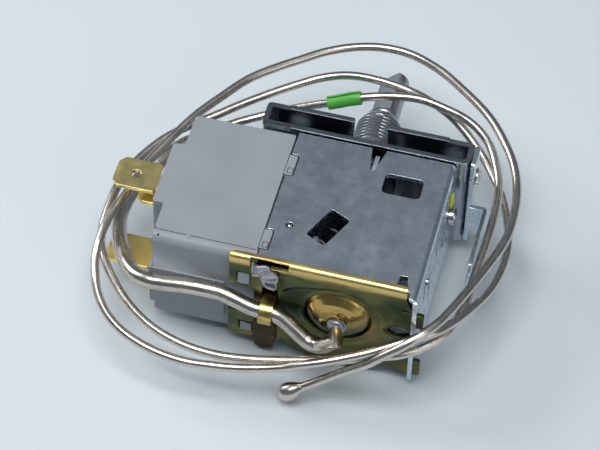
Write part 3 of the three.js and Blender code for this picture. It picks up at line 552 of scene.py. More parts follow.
def swept(line, section):
    """A skin along a line. section(i, t) gives the (side, up) points of the ring at share t of the way."""
    made = bmesh.new()
    rings = []
    normal = Vector((0, 0, 1))
    last = len(line) - 1
    for i, here in enumerate(line):
        ahead = (line[min(i + 1, last)] - line[max(i - 1, 0)]).normalized()
        normal = (normal - ahead * normal.dot(ahead)).normalized()
        across = ahead.cross(normal)
        rings.append([made.verts.new(here + across * u + normal * v) for u, v in section(i, i / last)])
    count = len(rings[0])
    for a, b in zip(rings, rings[1:]):
        for k in range(count):
            j = (k + 1) % count
            made.faces.new((a[k], a[j], b[j], b[k]))
    made.faces.new(rings[0][::-1])
    made.faces.new(rings[-1])
    bmesh.ops.recalc_face_normals(made, faces=made.faces)
    return finished(made, "swept")


def circle(wide, thick, count):
    """A tube's section, with equal steps."""
    return [(wide * math.cos(a), thick * math.sin(a)) for a in (2 * math.pi * k / count for k in range(count))]


# ---------------------------------------------------------------- sensing tube and stem
# Middle lines of both tubes, which they keep by their own stiffness.
TUBE_ROUTE = [
    (2.2, 33.6, 11.7), (6.5, 37.2, 11.9), (10.0, 39.3, 12.2), (13.5, 40.8, 13.0), (17.8, 42.0, 14.4),
    (21.9, 42.7, 15.8), (27.5, 43.9, 17.6), (32.0, 45.0, 18.1), (37.7, 45.5, 18.5), (42.8, 44.5, 18.4),
    (46.4, 44.0, 17.4), (49.2, 42.8, 16.4), (51.6, 40.4, 15.8), (53.6, 36.4, 15.2), (54.8, 32.6, 14.8),
    (55.3, 28.0, 14.6), (55.3, 20.5, 14.4), (54.9, 14.6, 14.2), (54.7, 10.7, 14.0), (54.3, 6.2, 13.6),
    (52.9, 1.3, 13.0), (50.3, -1.9, 12.6), (46.5, -4.6, 12.2), (42.2, -6.1, 11.9), (36.6, -8.0, 11.4),
    (31.1, -8.6, 10.2), (27.1, -9.2, 9.5), (21.8, -10.0, 9.0), (16.3, -10.4, 8.7), (10.6, -10.0, 8.8),
    (4.5, -8.2, 9.2), (-0.5, -5.2, 9.8), (-4.5, -1.4, 10.6), (-7.4, 2.4, 11.4), (-9.1, 6.7, 12.4),
    (-9.4, 11.4, 13.1), (-9.2, 16.0, 13.6), (-8.4, 20.0, 13.9), (-6.9, 23.6, 14.1), (-4.5, 27.8, 14.3),
    (-1.2, 31.7, 14.5), (2.9, 35.2, 14.8), (7.5, 39.3, 15.2), (14.4, 44.5, 15.9), (20.1, 47.6, 16.8),
    (24.7, 48.4, 17.7), (29.7, 48.2, 18.1), (34.7, 47.5, 18.0), (38.0, 47.4, 16.9), (41.1, 46.9, 15.8),
    (44.4, 45.4, 14.8), (46.9, 43.6, 14.0), (50.5, 40.3, 12.8), (52.8, 37.4, 12.2), (55.0, 34.1, 11.7),
    (57.1, 29.5, 11.3), (58.6, 23.9, 11.2), (58.8, 18.6, 11.4), (57.9, 12.7, 12.0), (55.9, 7.4, 13.0),
    (53.7, 2.8, 14.2), (51.1, -1.0, 15.2), (47.2, -3.7, 15.1), (41.4, -6.7, 13.7), (37.6, -8.3, 12.9),
    (33.7, -9.7, 12.1), (30.5, -10.5, 11.3), (27.6, -11.1, 10.4), (23.6, -11.8, 9.6), (19.6, -12.5, 9.2),
    (15.7, -13.0, 9.1), (11.6, -13.4, 9.2), (7.1, -13.2, 9.6), (3.0, -12.3, 10.1), (-0.6, -10.8, 10.6),
    (-3.7, -8.5, 11.2), (-6.0, -5.6, 12.0), (-7.4, -2.5, 12.9), (-8.2, 0.5, 13.7), (-8.4, 3.6, 14.6),
    (-8.1, 8.3, 15.3), (-6.8, 13.0, 15.8), (-5.9, 17.0, 16.1), (-4.9, 20.8, 16.4), (-2.9, 25.5, 16.8),
    (-1.4, 28.9, 17.0), (0.5, 32.8, 17.2), (3.7, 38.0, 17.3), (7.2, 43.1, 17.4), (11.0, 46.8, 17.4),
    (14.8, 49.9, 17.4), (18.8, 53.0, 17.4), (23.2, 55.3, 17.4), (27.9, 56.6, 17.4), (33.3, 56.5, 17.4),
    (39.2, 54.2, 17.4), (44.8, 50.4, 17.3), (50.3, 45.7, 17.2), (54.2, 40.6, 17.0), (56.8, 35.8, 16.8),
    (58.3, 30.6, 16.6), (58.8, 24.8, 16.5), (58.4, 19.6, 16.5), (56.2, 12.1, 16.7), (54.6, 7.4, 17.0),
    (52.8, 2.6, 17.3), (51.1, -1.0, 17.4), (48.9, -3.9, 17.2), (46.3, -6.0, 15.9), (43.6, -7.1, 13.9),
    (41.6, -7.7, 12.1), (37.8, -8.5, 9.5), (34.7, -9.1, 7.1), (31.3, -9.9, 4.7), (28.9, -10.4, 3.1),
]
STEM_ROUTE = [
    (35.2, -5.8, 13.8), (34.4, -5.6, 12.4), (33.4, -5.4, 11.1), (32.2, -5.0, 10.1), (31.0, -4.7, 9.8),
    (29.8, -4.3, 10.0), (28.5, -3.9, 10.8), (27.2, -3.5, 11.6), (25.6, -3.0, 12.5), (24.0, -2.8, 13.1),
    (22.5, -2.8, 13.3), (20.4, -2.8, 13.5), (18.6, -2.6, 13.9), (16.8, -2.4, 14.4), (14.7, -2.1, 14.8),
    (12.5, -2.0, 14.8), (8.4, -2.0, 14.6), (4.2, -2.1, 14.1), (1.4, -2.0, 13.9), (-0.7, -1.1, 13.5),
    (-2.6, 0.8, 13.0), (-4.5, 3.9, 12.3), (-6.3, 7.7, 11.5), (-7.4, 11.3, 10.9), (-7.7, 14.4, 10.4),
    (-7.4, 18.0, 10.2), (-6.3, 21.5, 10.5), (-4.0, 25.8, 11.4), (-0.9, 30.3, 11.6), (1.7, 33.1, 11.7),
]
STEM_R, TUBE_R = 1.38, 0.78


def metres(line):
    return [tuple(TO_ROW @ p) for p in line]


def sensing_tube():
    line = smooth_route(TUBE_ROUTE, 6)
    curve = bpy.data.curves.new("capillary", "CURVE")
    curve.dimensions = "3D"
    curve.bevel_depth = TUBE_R * MM
    curve.bevel_resolution = 5
    curve.use_fill_caps = True
    spline = curve.splines.new("POLY")
    spline.points.add(len(line) - 1)
    for point, place in zip(spline.points, metres(line)):
        point.co = (*place, 1)
    spline.use_smooth = True
    curve.materials.append(TUBE.material)
    tube = bpy.data.objects.new("sensing_tube", curve)
    bpy.context.scene.collection.objects.link(tube)
    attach(tube, "frame")
    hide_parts("capillary_tube")

    # The sealed end is swaged down from a small bulb to a blunt nose.
    end, before = Vector(TUBE_ROUTE[-1]), Vector(TUBE_ROUTE[-2])
    along = (end - before).normalized()
    shape = [(-3.4, 0.80), (-2.6, 0.86), (-1.9, 1.12), (-1.1, 1.46), (-0.2, 1.62), (0.7, 1.6), (1.4, 1.36),
             (1.9, 0.95), (2.15, 0.4)]
    middle = end + along * 0.35
    bulb = swept([middle + along * d * 0.92 for d, _ in shape],
                 lambda i, t: circle(shape[i][1], shape[i][1], 24))
    tip = piece("sensing_tip", bulb, TUBE, ["capillary_tip"])
    tip.modifiers.new("round", "SUBSURF").levels = 1

    # The marker is slit along its length, and lies over the bushing's side of the innermost turn.
    stretch = smooth_route(TUBE_ROUTE[4:9], 24)[24:49:2]
    slit, steps, bore, outer, wave = 16, 22, 0.9, 1.26, 0.02

    def sleeve_section(_, t):
        angles = [math.radians(90 + slit / 2 + (360 - slit) * k / steps) for k in range(steps + 1)]
        outside = [(outer + wave * math.sin(9 * t + a), a) for a in angles]
        inside = [(bore, a) for a in reversed(angles)]
        return [(r * math.cos(a), r * math.sin(a)) for r, a in outside + inside]

    sleeve = piece("split_marker_sleeve", swept(stretch, sleeve_section), GREEN, ["marker_sleeve"])


def seat_ring(mesh, ring, corner, normal, along):
    """Slides one ring of a swept tube along the tube until it lies on the plane of a fold."""
    for vertex in mesh.vertices[ring]:
        vertex.co -= along * ((vertex.co - corner).dot(normal) / along.dot(normal))


def stem():
    """The thick tube: it leaves the collar as a narrow neck and is folded over sharply at the corner."""
    corner, collar = Vector((35.4, -6.0, 13.8)), Vector((34.75, -3.7, 13.88))
    run = [corner, *map(Vector, STEM_ROUTE[1:])]
    line = smooth_route(run, 6)
    line = [corner, *(p for p in line if (p - corner).length > 1.55)]
    into, out = (corner - collar).normalized(), (line[1] - line[0]).normalized()
    # Towards its far end the tube is swaged down onto the thin one.
    swage = [(0.0, 1.0), (0.965, 1.0), (0.985, 0.78), (1.0, 0.62)]
    sides = 32

    def section(i, t):
        fold = math.exp(-((i - 1) / 5) ** 2)
        size = next(b[1] + (a[1] - b[1]) * (b[0] - t) / (b[0] - a[0])
                    for a, b in zip(swage, swage[1:]) if t <= b[0])
        return circle(STEM_R * size * (1 + 0.05 * fold), STEM_R * size * (1 - 0.08 * fold), sides)

    def flare(i, _):
        r = (1.0, 1.05, 1.15, STEM_R)[i]
        return circle(r, r, sides)

    bend = (into + out).normalized()
    tube = swept(line, section)
    seat_ring(tube, slice(0, sides), corner, bend, out)
    edge = [vertex.co.copy() for vertex in tube.vertices[:sides]]
    tube = piece("stem_tube", tube, TUBE, ["capillary_stem"], smooth=42)
    neck = swept([collar, collar + into * 0.5, collar + into * 1.0, corner], flare)
    last_ring = slice(3 * sides, 4 * sides)
    seat_ring(neck, last_ring, corner, bend, into)
    for vertex in neck.vertices[last_ring]:
        vertex.co = min(edge, key=lambda p: (p - vertex.co).length)
    neck = piece("stem_neck", neck, TUBE, (), smooth=42)


# ---------------------------------------------------------------- sensing element, plate and clip
# The sheet's faces along y, its top, the fold there, and the oval opening: x, z and half width.
PLATE = (-1.0, -0.2)
PLATE_TOP = 24.2
FOLD_R = 0.9
FOLD_Z = PLATE_TOP - FOLD_R
OVAL, OVAL_SQUASH = (44.9, 13.2, 2.05), 0.68


def folded(mesh):
    """Bends the blank's top back over the body, as the press does."""
    made = bmesh.new()
    made.from_mesh(mesh)
    bpy.data.meshes.remove(mesh)
    arc_length = FOLD_R * math.pi / 2
    for k in range(11):
        bmesh.ops.bisect_plane(made, geom=[*made.verts, *made.edges, *made.faces],
                               plane_co=(0, 0, FOLD_Z + arc_length * k / 10), plane_no=(0, 0, 1))
    for vert in made.verts:
        run, depth = vert.co.z - FOLD_Z, (vert.co.y - PLATE[0]) * 0.93
        if run <= 0:
            continue
        angle = min(run, arc_length) / FOLD_R
        beyond = max(0.0, run - arc_length)
        r = FOLD_R - depth
        vert.co.y = PLATE[0] + FOLD_R - r * math.cos(angle) + beyond
        vert.co.z = FOLD_Z + r * math.sin(angle)
    return finished(made, "folded")


def element_plate():
    blank_top = FOLD_Z + FOLD_R * math.pi / 2 + 0.5
    outline = fillet([
        (15.7, blank_top), (15.7, 16.6), (19.9, 16.6), (19.9, 9.4), (15.4, 9.4), (15.4, 3.6), (16.2, 2.9),
        (22.2, 2.9), (25.0, 3.7), *arc(34.3, 13.9, 13.88, -2.31, -0.88, 16)[1:-1], (43.1, 3.2), (44.6, 2.6),
        (46.9, 2.0), (48.9, 2.0), (48.9, 5.8), (46.9, 5.8), (46.9, 15.1), (48.9, 15.1), (48.9, 18.5),
        (46.9, 18.5), (46.9, 19.6), (45.9, 22.0), (45.9, blank_top),
    ], [1.1, 0.8, 0.3, 0.3, 0.4, 0.3, 0.3, 0.3, 0.6, *[0] * 15, 0.4, 0.6, 0.4, 0.4, 0.4, 0.3, 0.3, 0.4, 0.4,
        0.3, 0.3, 0.3, 0.7])
    slot_top = blank_top - 0.85
    holes = [
        fillet([(17.0, 17.6), (17.0, 20.2), (19.3, 20.2), (19.3, 17.6)][::-1], 0.25),
        fillet([(17.3, 4.6), (17.3, 6.9), (19.8, 6.9), (19.8, 4.6)][::-1], 0.2),
        fillet([(21.4, 13.4), (21.4, 17.4), (24.1, 17.4), (24.1, 13.4)][::-1], 0.3),
        fillet([(22.6, 22.2), (22.6, 22.65), (25.8, 22.65), (25.8, slot_top), (19.3, slot_top), (19.3, 22.2)], 0.2),
        ring(*OVAL, 32, OVAL_SQUASH)[::-1],
        fillet([(45.2, 18.85), (45.2, 19.25), (46.6, 19.25), (46.6, 18.85)][::-1], 0.1),
        ring(DISH_X, DISH_Z, 5.8, 64)[::-1],
    ]
    blank = prism(outline, *PLATE, "y", holes, 0.1)
    piece("element_plate_formed", folded(blank), GILT, ["element_plate"], smooth=40)


def dish_relief():
    """The drawn ground round the dome: a rounded ridge like a drop, pointed at the clip, with a trough inside."""
    step, x0, x1, z0, z1 = 0.3, 24.3, 44.4, 3.9, 22.9
    inner, outer = 5.75, 13.3
    toward_clip, toward_top = math.radians(168), math.radians(120)
    made = bmesh.new()
    grid = {}
    for i in range(int((x1 - x0) / step) + 1):
        for k in range(int((z1 - z0) / step) + 1):
            x, z = x0 + i * step, z0 + k * step
            r, a = math.hypot(x - DISH_X, z - DISH_Z), math.atan2(z - DISH_Z, x - DISH_X)
            out = math.hypot(x - 34.3, z - 13.9)
            lowest = 2.9 + 0.0225 * (x - DISH_X) ** 2 if z < DISH_Z else z0
            in_oval = math.hypot(x - OVAL[0], (z - OVAL[1]) / OVAL_SQUASH) < OVAL[2] + 0.25
            if in_oval or r < inner - 0.15 or z < lowest or out > outer:
                continue
            if r < inner:
                x, z = DISH_X + inner * math.cos(a), DISH_Z + inner * math.sin(a)
                r, out = inner, math.hypot(x - 34.3, z - 13.9)
            drop = 7.5 + 3.4 * max(0.0, math.cos(a - toward_clip)) ** 5
            strength = 0.45 + 0.55 * max(0.0, math.cos(a - toward_top))
            ridge = 0.52 * strength * math.exp(-((r - drop) / (0.55 if r < drop else 1.5)) ** 2)
            bead = 0.26 * math.exp(-((r - 6.1) / 0.3) ** 2)
            ground = 0.06 * min(1.0, max(0.0, (11.5 - r) / 3))
            edge = min(1.0, x - x0, x1 - x, (z1 - z) / 0.7, (outer - out) / 1.2)
            height = (ridge + bead + ground) * max(0.0, edge) - 0.03
            grid[i, k] = made.verts.new((x, PLATE[0] - height, z))
    for i, k in grid:
        square = [grid.get(key) for key in ((i, k), (i + 1, k), (i + 1, k + 1), (i, k + 1))]
        if all(square):
            made.faces.new(square)
    bmesh.ops.recalc_face_normals(made, faces=made.faces)
    if sum(f.normal.y for f in made.faces) > 0:
        bmesh.ops.reverse_faces(made, faces=made.faces)
    bmesh.ops.solidify(made, geom=made.faces, thickness=0.25)
    piece("element_plate_relief", finished(made, "relief"), GILT, (), smooth=60)


def dome():
    profile = [
        (0.75, -2.62), (1.5, -2.72), (1.9, -2.62), (2.2, -2.52), (2.7, -2.54), (3.05, -2.42), (3.3, -2.26),
        (3.8, -2.14), (4.15, -1.94), (4.4, -1.72), (4.9, -1.44), (5.25, -1.1), (5.45, -0.75), (5.6, -0.72),
        (5.72, -0.6), (5.72, 0.35), (5.3, 0.35), (5.2, -0.4), (4.0, -1.3), (2.0, -2.0), (0.75, -2.1),
    ]
    mesh = turned(profile, DISH_X, DISH_Z, 96)
    piece("element_dome_drawn", mesh, GILT_DOME, ["element_dome"], smooth=60)


def collar():
    profile = [
        (0.7, -2.7), (1.55, -2.72), (1.66, -2.82), (1.68, -3.0), (1.56, -3.12), (1.42, -3.16), (1.4, -3.24),
        (1.5, -3.3), (1.52, -3.46), (1.4, -3.6), (1.2, -3.66), (1.1, -3.8), (0.7, -3.85),
    ]
    piece("stem_collar_rings", turned(profile, 34.8, 13.9, 48), ZINC_DULL, ["stem_collar"], smooth=50)


def stem_clip():
    """A strap bent round the stem, with a rounded lobe hanging from it."""
    x0, x1, y, z, inner, outer = 21.6, 23.9, -2.8, 13.3, 1.72, 2.22
    path = [(-0.75, z + outer), *arc(y, z, outer, math.pi / 2, 1.5 * math.pi, 18), (-1.55, z - outer - 0.1),
            (-1.6, 10.2), (-1.1, 10.2), (-1.08, z - inner - 0.2), (-1.2, z - inner),
            *arc(y, z, inner, 1.5 * math.pi, math.pi / 2, 18), (-0.75, z + inner)]
    strap = prism(path, x0, x1, "x", (), 0.09)
    lobe = prism(fillet([(19.8, 3.6), (20.3, 1.6), (21.85, 1.0), (23.4, 1.6), (23.9, 3.6), (23.9, 10.35),
                         (20.9, 10.35), (19.8, 7.5)], 1.1, 6), -1.66, -1.1, "y", (), 0.14)
    piece("stem_clip_lobe", lobe, GILT_DARK, ())
    piece("stem_clip_formed", strap, GILT_STRAP, ["stem_clip"], smooth=40)


def locking_tab():
    """A sheared tab hammered over: a crumpled sheet that leans out past its bend."""
    bend_x, lean, nearest = 21.5, 0.12, -1.08
    outline = fillet([(19.6, 23.75), (22.7, 23.85), (23.5, 23.0), (24.3, 21.8), (24.2, 19.5), (23.2, 18.2),
                      (21.8, 19.4), (19.8, 20.6)], 0.35, 3)
    made = bmesh.new()
    made.from_mesh(prism(outline, -1.7, -1.15, "y", (), 0.1))
    bmesh.ops.triangulate(made, faces=made.faces)
    for _ in range(3):
        bmesh.ops.subdivide_edges(made, edges=[e for e in made.edges if e.calc_length() > 0.3], cuts=1)
        bmesh.ops.triangulate(made, faces=made.faces)
    for vert in made.verts:
        x, y, z = vert.co
        crease = noise.noise(Vector((x * 0.55, 3.0, z * 0.6))) + noise.noise(Vector((x * 1.3, 8, z))) * 0.15
        vert.co.y = min(y + crease * 0.7 - lean * max(0.0, x - bend_x), nearest)
    piece("locking_tab_bent", finished(made, "tab"), ZINC_TAB, ["locking_tab"], smooth=40)


# ---------------------------------------------------------------- housing and cover
COVER_Z = BODY_TOP - 1.3
SEAM_Y = 1.9


def wedge_lug(x0, x1, z0, z1):
    """A catch on the front wall that the element plate snaps behind."""
    return prism([(-1.4, z0), (-1.05, z1), (0.2, z1), (0.2, z0)], x0, x1, "x", (), 0.1)


def housing():
    outline = fillet([(2, 0), (19.95, 0), (19.95, 27.65), (2, 27.4), (2, 20.7), (0, 20.5), (0, 7.4), (2, 7.4)],
                     [0.5, 0.25, 0.25, 0.5, 0.2, 0.5, 0.5, 0.2])
    shell = prism(outline, 3.4, COVER_Z - 0.03, "z", (), 0.2)
    # The front wall rounds over to the seam of the cover, and raised panels lie on the front and the end.
    r, seam, wall_foot = 1.5, SEAM_Y - 0.16, 12
    crown = arc(r, BODY_TOP - r, r, math.pi, math.pi / 2, 10)
    wall = prism([(0.0, wall_foot), *crown, (seam, BODY_TOP), (seam, wall_foot)], 2.02, 19.9, "x", (), 0.04)
    panel_z = (6, 15.3)
    front = prism(fillet(box(1.4, 14.6, *panel_z), 0.35), -0.3, 0.3, "y", (), 0.12)
    side = prism(fillet(box(-0.25, 7.2, *panel_z), 0.2), 1.4, 2.3, "x", (), 0.12)
    button = prism(ring(8.0, 1.55, 0.42, 24), BODY_TOP - 0.5, BODY_TOP + 0.09, "z", (), 0.08)
    mesh = carve(shell, [wall, front, side, button], "UNION")
    mesh = carve(mesh, [wedge_lug(17.2, 19.2, 17.85, 19.95), wedge_lug(17.6, 19.6, 4.95, 6.5)], "UNION")
    cuts = [block((3.4, 18.5), (2.2, 26), (4.9, 30))]
    play = 0.12
    for _, (y0, y1), (z0, z1), _ in BLADES.values():
        cuts.append(block((-1, 6), (y0 - play, y1 + play), (z0 - play, z1 + play)))
    # The push rod's window, a parting step at the end, an ejector mark and two sink marks.
    cuts.append(block((17.5, 21), (2.6, 8.2), (7.2, 11.2)))
    cuts.append(block((1.7, 2.1), (-1, 0.1), (15.9, 22.0)))
    cuts.append(prism(ring(3.0, 0.75, 0.2, 16), BODY_TOP - 1.2, BODY_TOP + 1, "z", (), 0.02))
    for z in (7.6, 9.4):
        cuts.append(block((15.0, 19.2), (-1, 0.12), (z, z + 0.35)))
    piece("switch_housing_moulded", carve(mesh, cuts), GREY, ["switch_housing"], edge=0.06)


def cover():
    """The lid, with two latch tongues, a locating rim underneath and the housing's outline."""
    edge, tongue = 19.8, 21.3
    outline = fillet([
        (2.6, SEAM_Y), (edge, SEAM_Y), (edge, 2.4), (tongue, 2.4), (tongue, 6.5), (edge, 6.5), (edge, 18.8),
        (tongue, 18.8), (tongue, 23.2), (edge, 23.2), (edge, 27.65), (2, 27.4), (2, 20.7), (0, 20.5), (0, 7.4),
        (2, 7.4), (2, SEAM_Y + 0.5),
    ], [0.3, 0.1, 0.2, 0.35, 0.35, 0.2, 0.2, 0.35, 0.35, 0.2, 0.3, 0.5, 0.2, 0.5, 0.5, 0.2, 0.2])
    lid = prism(outline, COVER_Z, BODY_TOP, "z", (), 0.1)
    inner_rim = [(4.7, 24.7), (17.2, 24.7), (17.2, 3.5), (4.7, 3.5)]
    rim = prism(box(3.7, 18.2, 2.5, 25.7), COVER_Z - 1, COVER_Z + 0.3, "z", [inner_rim], 0.02)
    lid = carve(lid, [rim], "UNION")
    cuts = []
    groove = (BODY_TOP - 0.5, BODY_TOP + 1)
    for y in (2.62, 19.15):
        # The latch: a seam along the cover's edge and a square pad outlined in the tongue.
        inner = [(20.36, y + 1.06), (21.1, y + 1.06), (21.1, y + 0.14), (20.36, y + 0.14)]
        cuts.append(prism(box(20.22, 21.24, y, y + 1.2), *groove, "z", [inner], 0.005))
        cuts.append(block((19.72, 19.84), (y - 0.6, y + 4.4), groove))
    piece("housing_cover_moulded", carve(lid, cuts), GREY, ["housing_cover"], edge=0.05)


# ---------------------------------------------------------------- steel frame
# Where the differential screw and the earth rivet cross the side: y, z.
SCREW_AT = (24.4, 14.4)
RIVET_AT = (31.2, 18)


def steel_frame():
    """The channel that carries everything, open towards the housing."""
    sheet, left, right, back = 0.8, 20.12, 47.8, 28.35
    under = BODY_TOP - sheet
    outline = fillet([
        (left, -0.1), (46.2, -0.1), (46.2, -1.5), (46.9, -1.5), (46.9, back), (left, back), (left, 23.4),
        (left + 1.4, 23.4), (left + 1.4, 18.6), (left, 18.6), (left, 6.7), (left + 1.4, 6.7), (left + 1.4, 2.2),
        (left, 2.2),
    ], [0.15, 0.2, 0.3, 0, 0, 0.3, 0.15, 0.45, 0.45, 0.15, 0.15, 0.45, 0.45, 0.15])
    turn = Matrix.Rotation(-0.44, 2)
    slant = [tuple(Vector((29.9, 9.55)) + turn @ Vector(p)) for p in
             fillet(box(-1.95, 1.95, -3.45, 3.45), 0.55, 5)]
    holes = [
        slant[::-1],
        fillet(box(36.6, 43.25, 19.25, 23.5), 1.0, 6)[::-1],
        fillet([(43.6, 0.7), (45.7, 0.7), (45.1, 2.9), (43.9, 2.8)], 0.2, 3)[::-1],
        ring(23.6, 8.3, 0.62, 24)[::-1],
    ]
    top = prism(outline, under, BODY_TOP, "z", holes, 0.09)
    # The closed side hangs from the top by a bend, and its front leg goes down past the bottom.
    r = 1.1
    bend = prism([(46.6, BODY_TOP), *arc(right - r, BODY_TOP - r, r, math.pi / 2, 0, 10), (right, 22.0),
                  (right - sheet, 22.0), *arc(right - r, BODY_TOP - r, r - sheet, 0, math.pi / 2, 4),
                  (46.6, under)], -1.5, back, "y", (), 0.06)
    side = prism(fillet([(-1.7, 0.9), (1.6, 0.9), (1.6, 3.4), (back, 3.4), (back, 22.6), (-1.7, 22.6)],
                        [0.4, 0.3, 0.3, 0.4, 0, 0.3]), right - sheet, right, "x", (), 0.08)
    bottom = prism([(left, 0.2), (right - 0.1, 0.2), (right - 0.1, back), (left, back)], 3.4, 4.2, "z",
                   [ring(38.5, 14.5, 2.4, 32)[::-1],
                    fillet(box(23, 33, 8, 18), 1.5)[::-1]], 0.09)
    pivot = (6.4, 18.5, 0.76)
    hanger = prism(fillet(box(4.9, 7.9, 16.9, 22.8), 0.6), 28.0, 28.8, "x", [ring(*pivot, 24)[::-1]], 0.08)
    mesh = carve(top, [bend, side, bottom, hanger], "UNION")
    # A wedge is cut into the back edge of the top, and a bent tab stands in it.
    notch = prism([(32.9, back + 1), (35.9, back + 1), (34.5, 23.6), (33.7, 23.6)], under - 1, BODY_TOP + 1, "z",
                  (), CUTTER_EDGE)
    tab = prism([(23.5, 19.0), (24.15, 19.0), (24.3, 22.2), (26.9, 22.75), (26.9, 23.2), (24.1, 23.0),
                 (23.5, 22.7)], 33.95, 34.75, "x", (), 0.1)
    # Under the fold of the element plate the front edge is cut back, where the locking tab comes out.
    cuts = [notch, block((20.3, 26.2), (-1, 0.7), (under - 0.4, BODY_TOP + 1))]
    for z0, z1 in ((14.8, 18.9), (1.6, 6.2)):
        cuts.append(block((45, 50), (-1.3, 0.05), (z0, z1)))
    for slot in ((26.6, 27.7, 20.4, 21.8), (18.6, 20.4, 10.4, 13.4), (13.2, 14.4, 15.5, 19.5),
                 (8.2, 9.2, 11.0, 16.0), (4.0, 5.0, 15.5, 20.5)):
        cuts.append(prism(fillet(box(*slot), 0.35), 45, 50, "x", (), CUTTER_EDGE))
    cuts.append(drill("x", *SCREW_AT, 1.08, 45, 50))
    cuts.append(drill("x", *pivot, 45, 50, 24))
    mesh = carve(carve(mesh, cuts), [tab], "UNION")
    piece("steel_frame_formed", mesh, ZINC, ["steel_frame"], edge=0.04)


def inside():
    """What shows through the frame's holes: the pin's ball and the lever's bent edges."""
    ball = bmesh.new()
    bmesh.ops.create_icosphere(ball, subdivisions=3, radius=0.42)
    bmesh.ops.transform(ball, matrix=Matrix.Translation((23.6, 8.3, 23.0)), verts=ball.verts)
    mesh = finished(ball, "ball")
    pin = turned([(0, 0), (0.42, 0), (0.42, 1.8), (0, 1.8)], 0, 0, 24)
    pin.transform(Matrix.Translation((23.6, 8.3, 21.25)) @ TURNS["y"].inverted())
    piece("locating_pin_ball", carve(mesh, [pin], "UNION"), STEEL, ["locating_pin"])
    near = [(28.0, 8.0, 21.2), (29.0, 7.6, 21.6), (29.9, 7.2, 21.5), (30.3, 6.6, 21.0), (30.3, 5.9, 20.6)]
    far = [(29.6, 10.9, 20.9), (30.3, 10.5, 21.5), (31.1, 10.2, 21.7), (31.8, 9.9, 21.3)]
    bead = [(0.12, -0.5), (0.17, 0.3), (0.08, 0.42), (-0.08, 0.42), (-0.17, 0.3), (-0.12, -0.5)]
    for name, route in (("lever_edge_near", near), ("lever_edge_far", far)):
        piece(name, swept(smooth_route(route, 6), lambda i, t: bead), STEEL, (), "lever")


# ---------------------------------------------------------------- bushing, spindle and bracket
def helix_bushing():
    """The bushing with a single-start thread, whose crest climbs as the profile goes round."""
    bore, shank, crest, root = 2.56, 4.18, 4.1, 3.66
    start, finish, pitch = 35.9, 41.9, 0.75
    segments = 72
    profile = [(bore, 27.4), (5.6, 27.4), (5.6, 28.5), (shank, 28.5), (shank, start - 0.25)]
    plain = len(profile)
    steps = int((finish - start) / pitch) * 6
    for k in range(steps + 1):
        profile.append((root, start + (finish - start) * k / steps))
    threaded = len(profile)
    profile += [(root, finish + 0.15), (3.15, 42.95), (3.0, 43.2), (bore, 43.2)]

    made = bmesh.new()
    rows = []
    for i in range(segments):
        a = 2 * math.pi * i / segments
        row = []
        for k, (r, y) in enumerate(profile):
            if plain <= k < threaded:
                phase = ((y - start) / pitch - i / segments) % 1
                ridge = min(1.0, max(0.0, 1.6 - abs(phase - 0.5) * 4.2))
                fade = min(1.0, (y - start) / 0.4, (finish - y) / 0.5)
                r += (crest - root) * ridge * max(0.0, fade)
            row.append(made.verts.new((AXIS_X + r * math.cos(a), y, AXIS_Z + r * math.sin(a))))
        rows.append(row)
    closed_skin(made, rows)
    bmesh.ops.recalc_face_normals(made, faces=made.faces)
    piece("threaded_bushing_cut", finished(made, "bushing"), ZINC_DULL, ["threaded_bushing"], smooth=50)


def spindle():
    tip, flat = 53.5, 1.05
    profile = [(0, 20.6), (2, 20.6), (2, 25.4), (2.5, 25.4), (2.5, 43.4), (2.72, 43.7), (2.75, 43.9),
               (2.75, tip - 0.9), (2.62, tip - 0.4), (2.25, tip - 0.08), (1.9, tip), (0, tip)]
    mesh = turned(profile, AXIS_X, AXIS_Z, 72)
    milled = prism([(-flat - 3, tip - 9.6), (-flat - 0.4, tip - 9.25), (-flat, tip - 9), (-flat, tip + 1),
                    (-flat - 3, tip + 1)], -4, 4, "z", (), CUTTER_EDGE)
    milled.transform(Matrix.Translation((AXIS_X, 0, AXIS_Z)) @ Matrix.Rotation(math.radians(45), 4, "Y"))
    piece("spindle_turned", carve(mesh, [milled]), ZINC_DULL, ["spindle"], "control", edge=0.06)


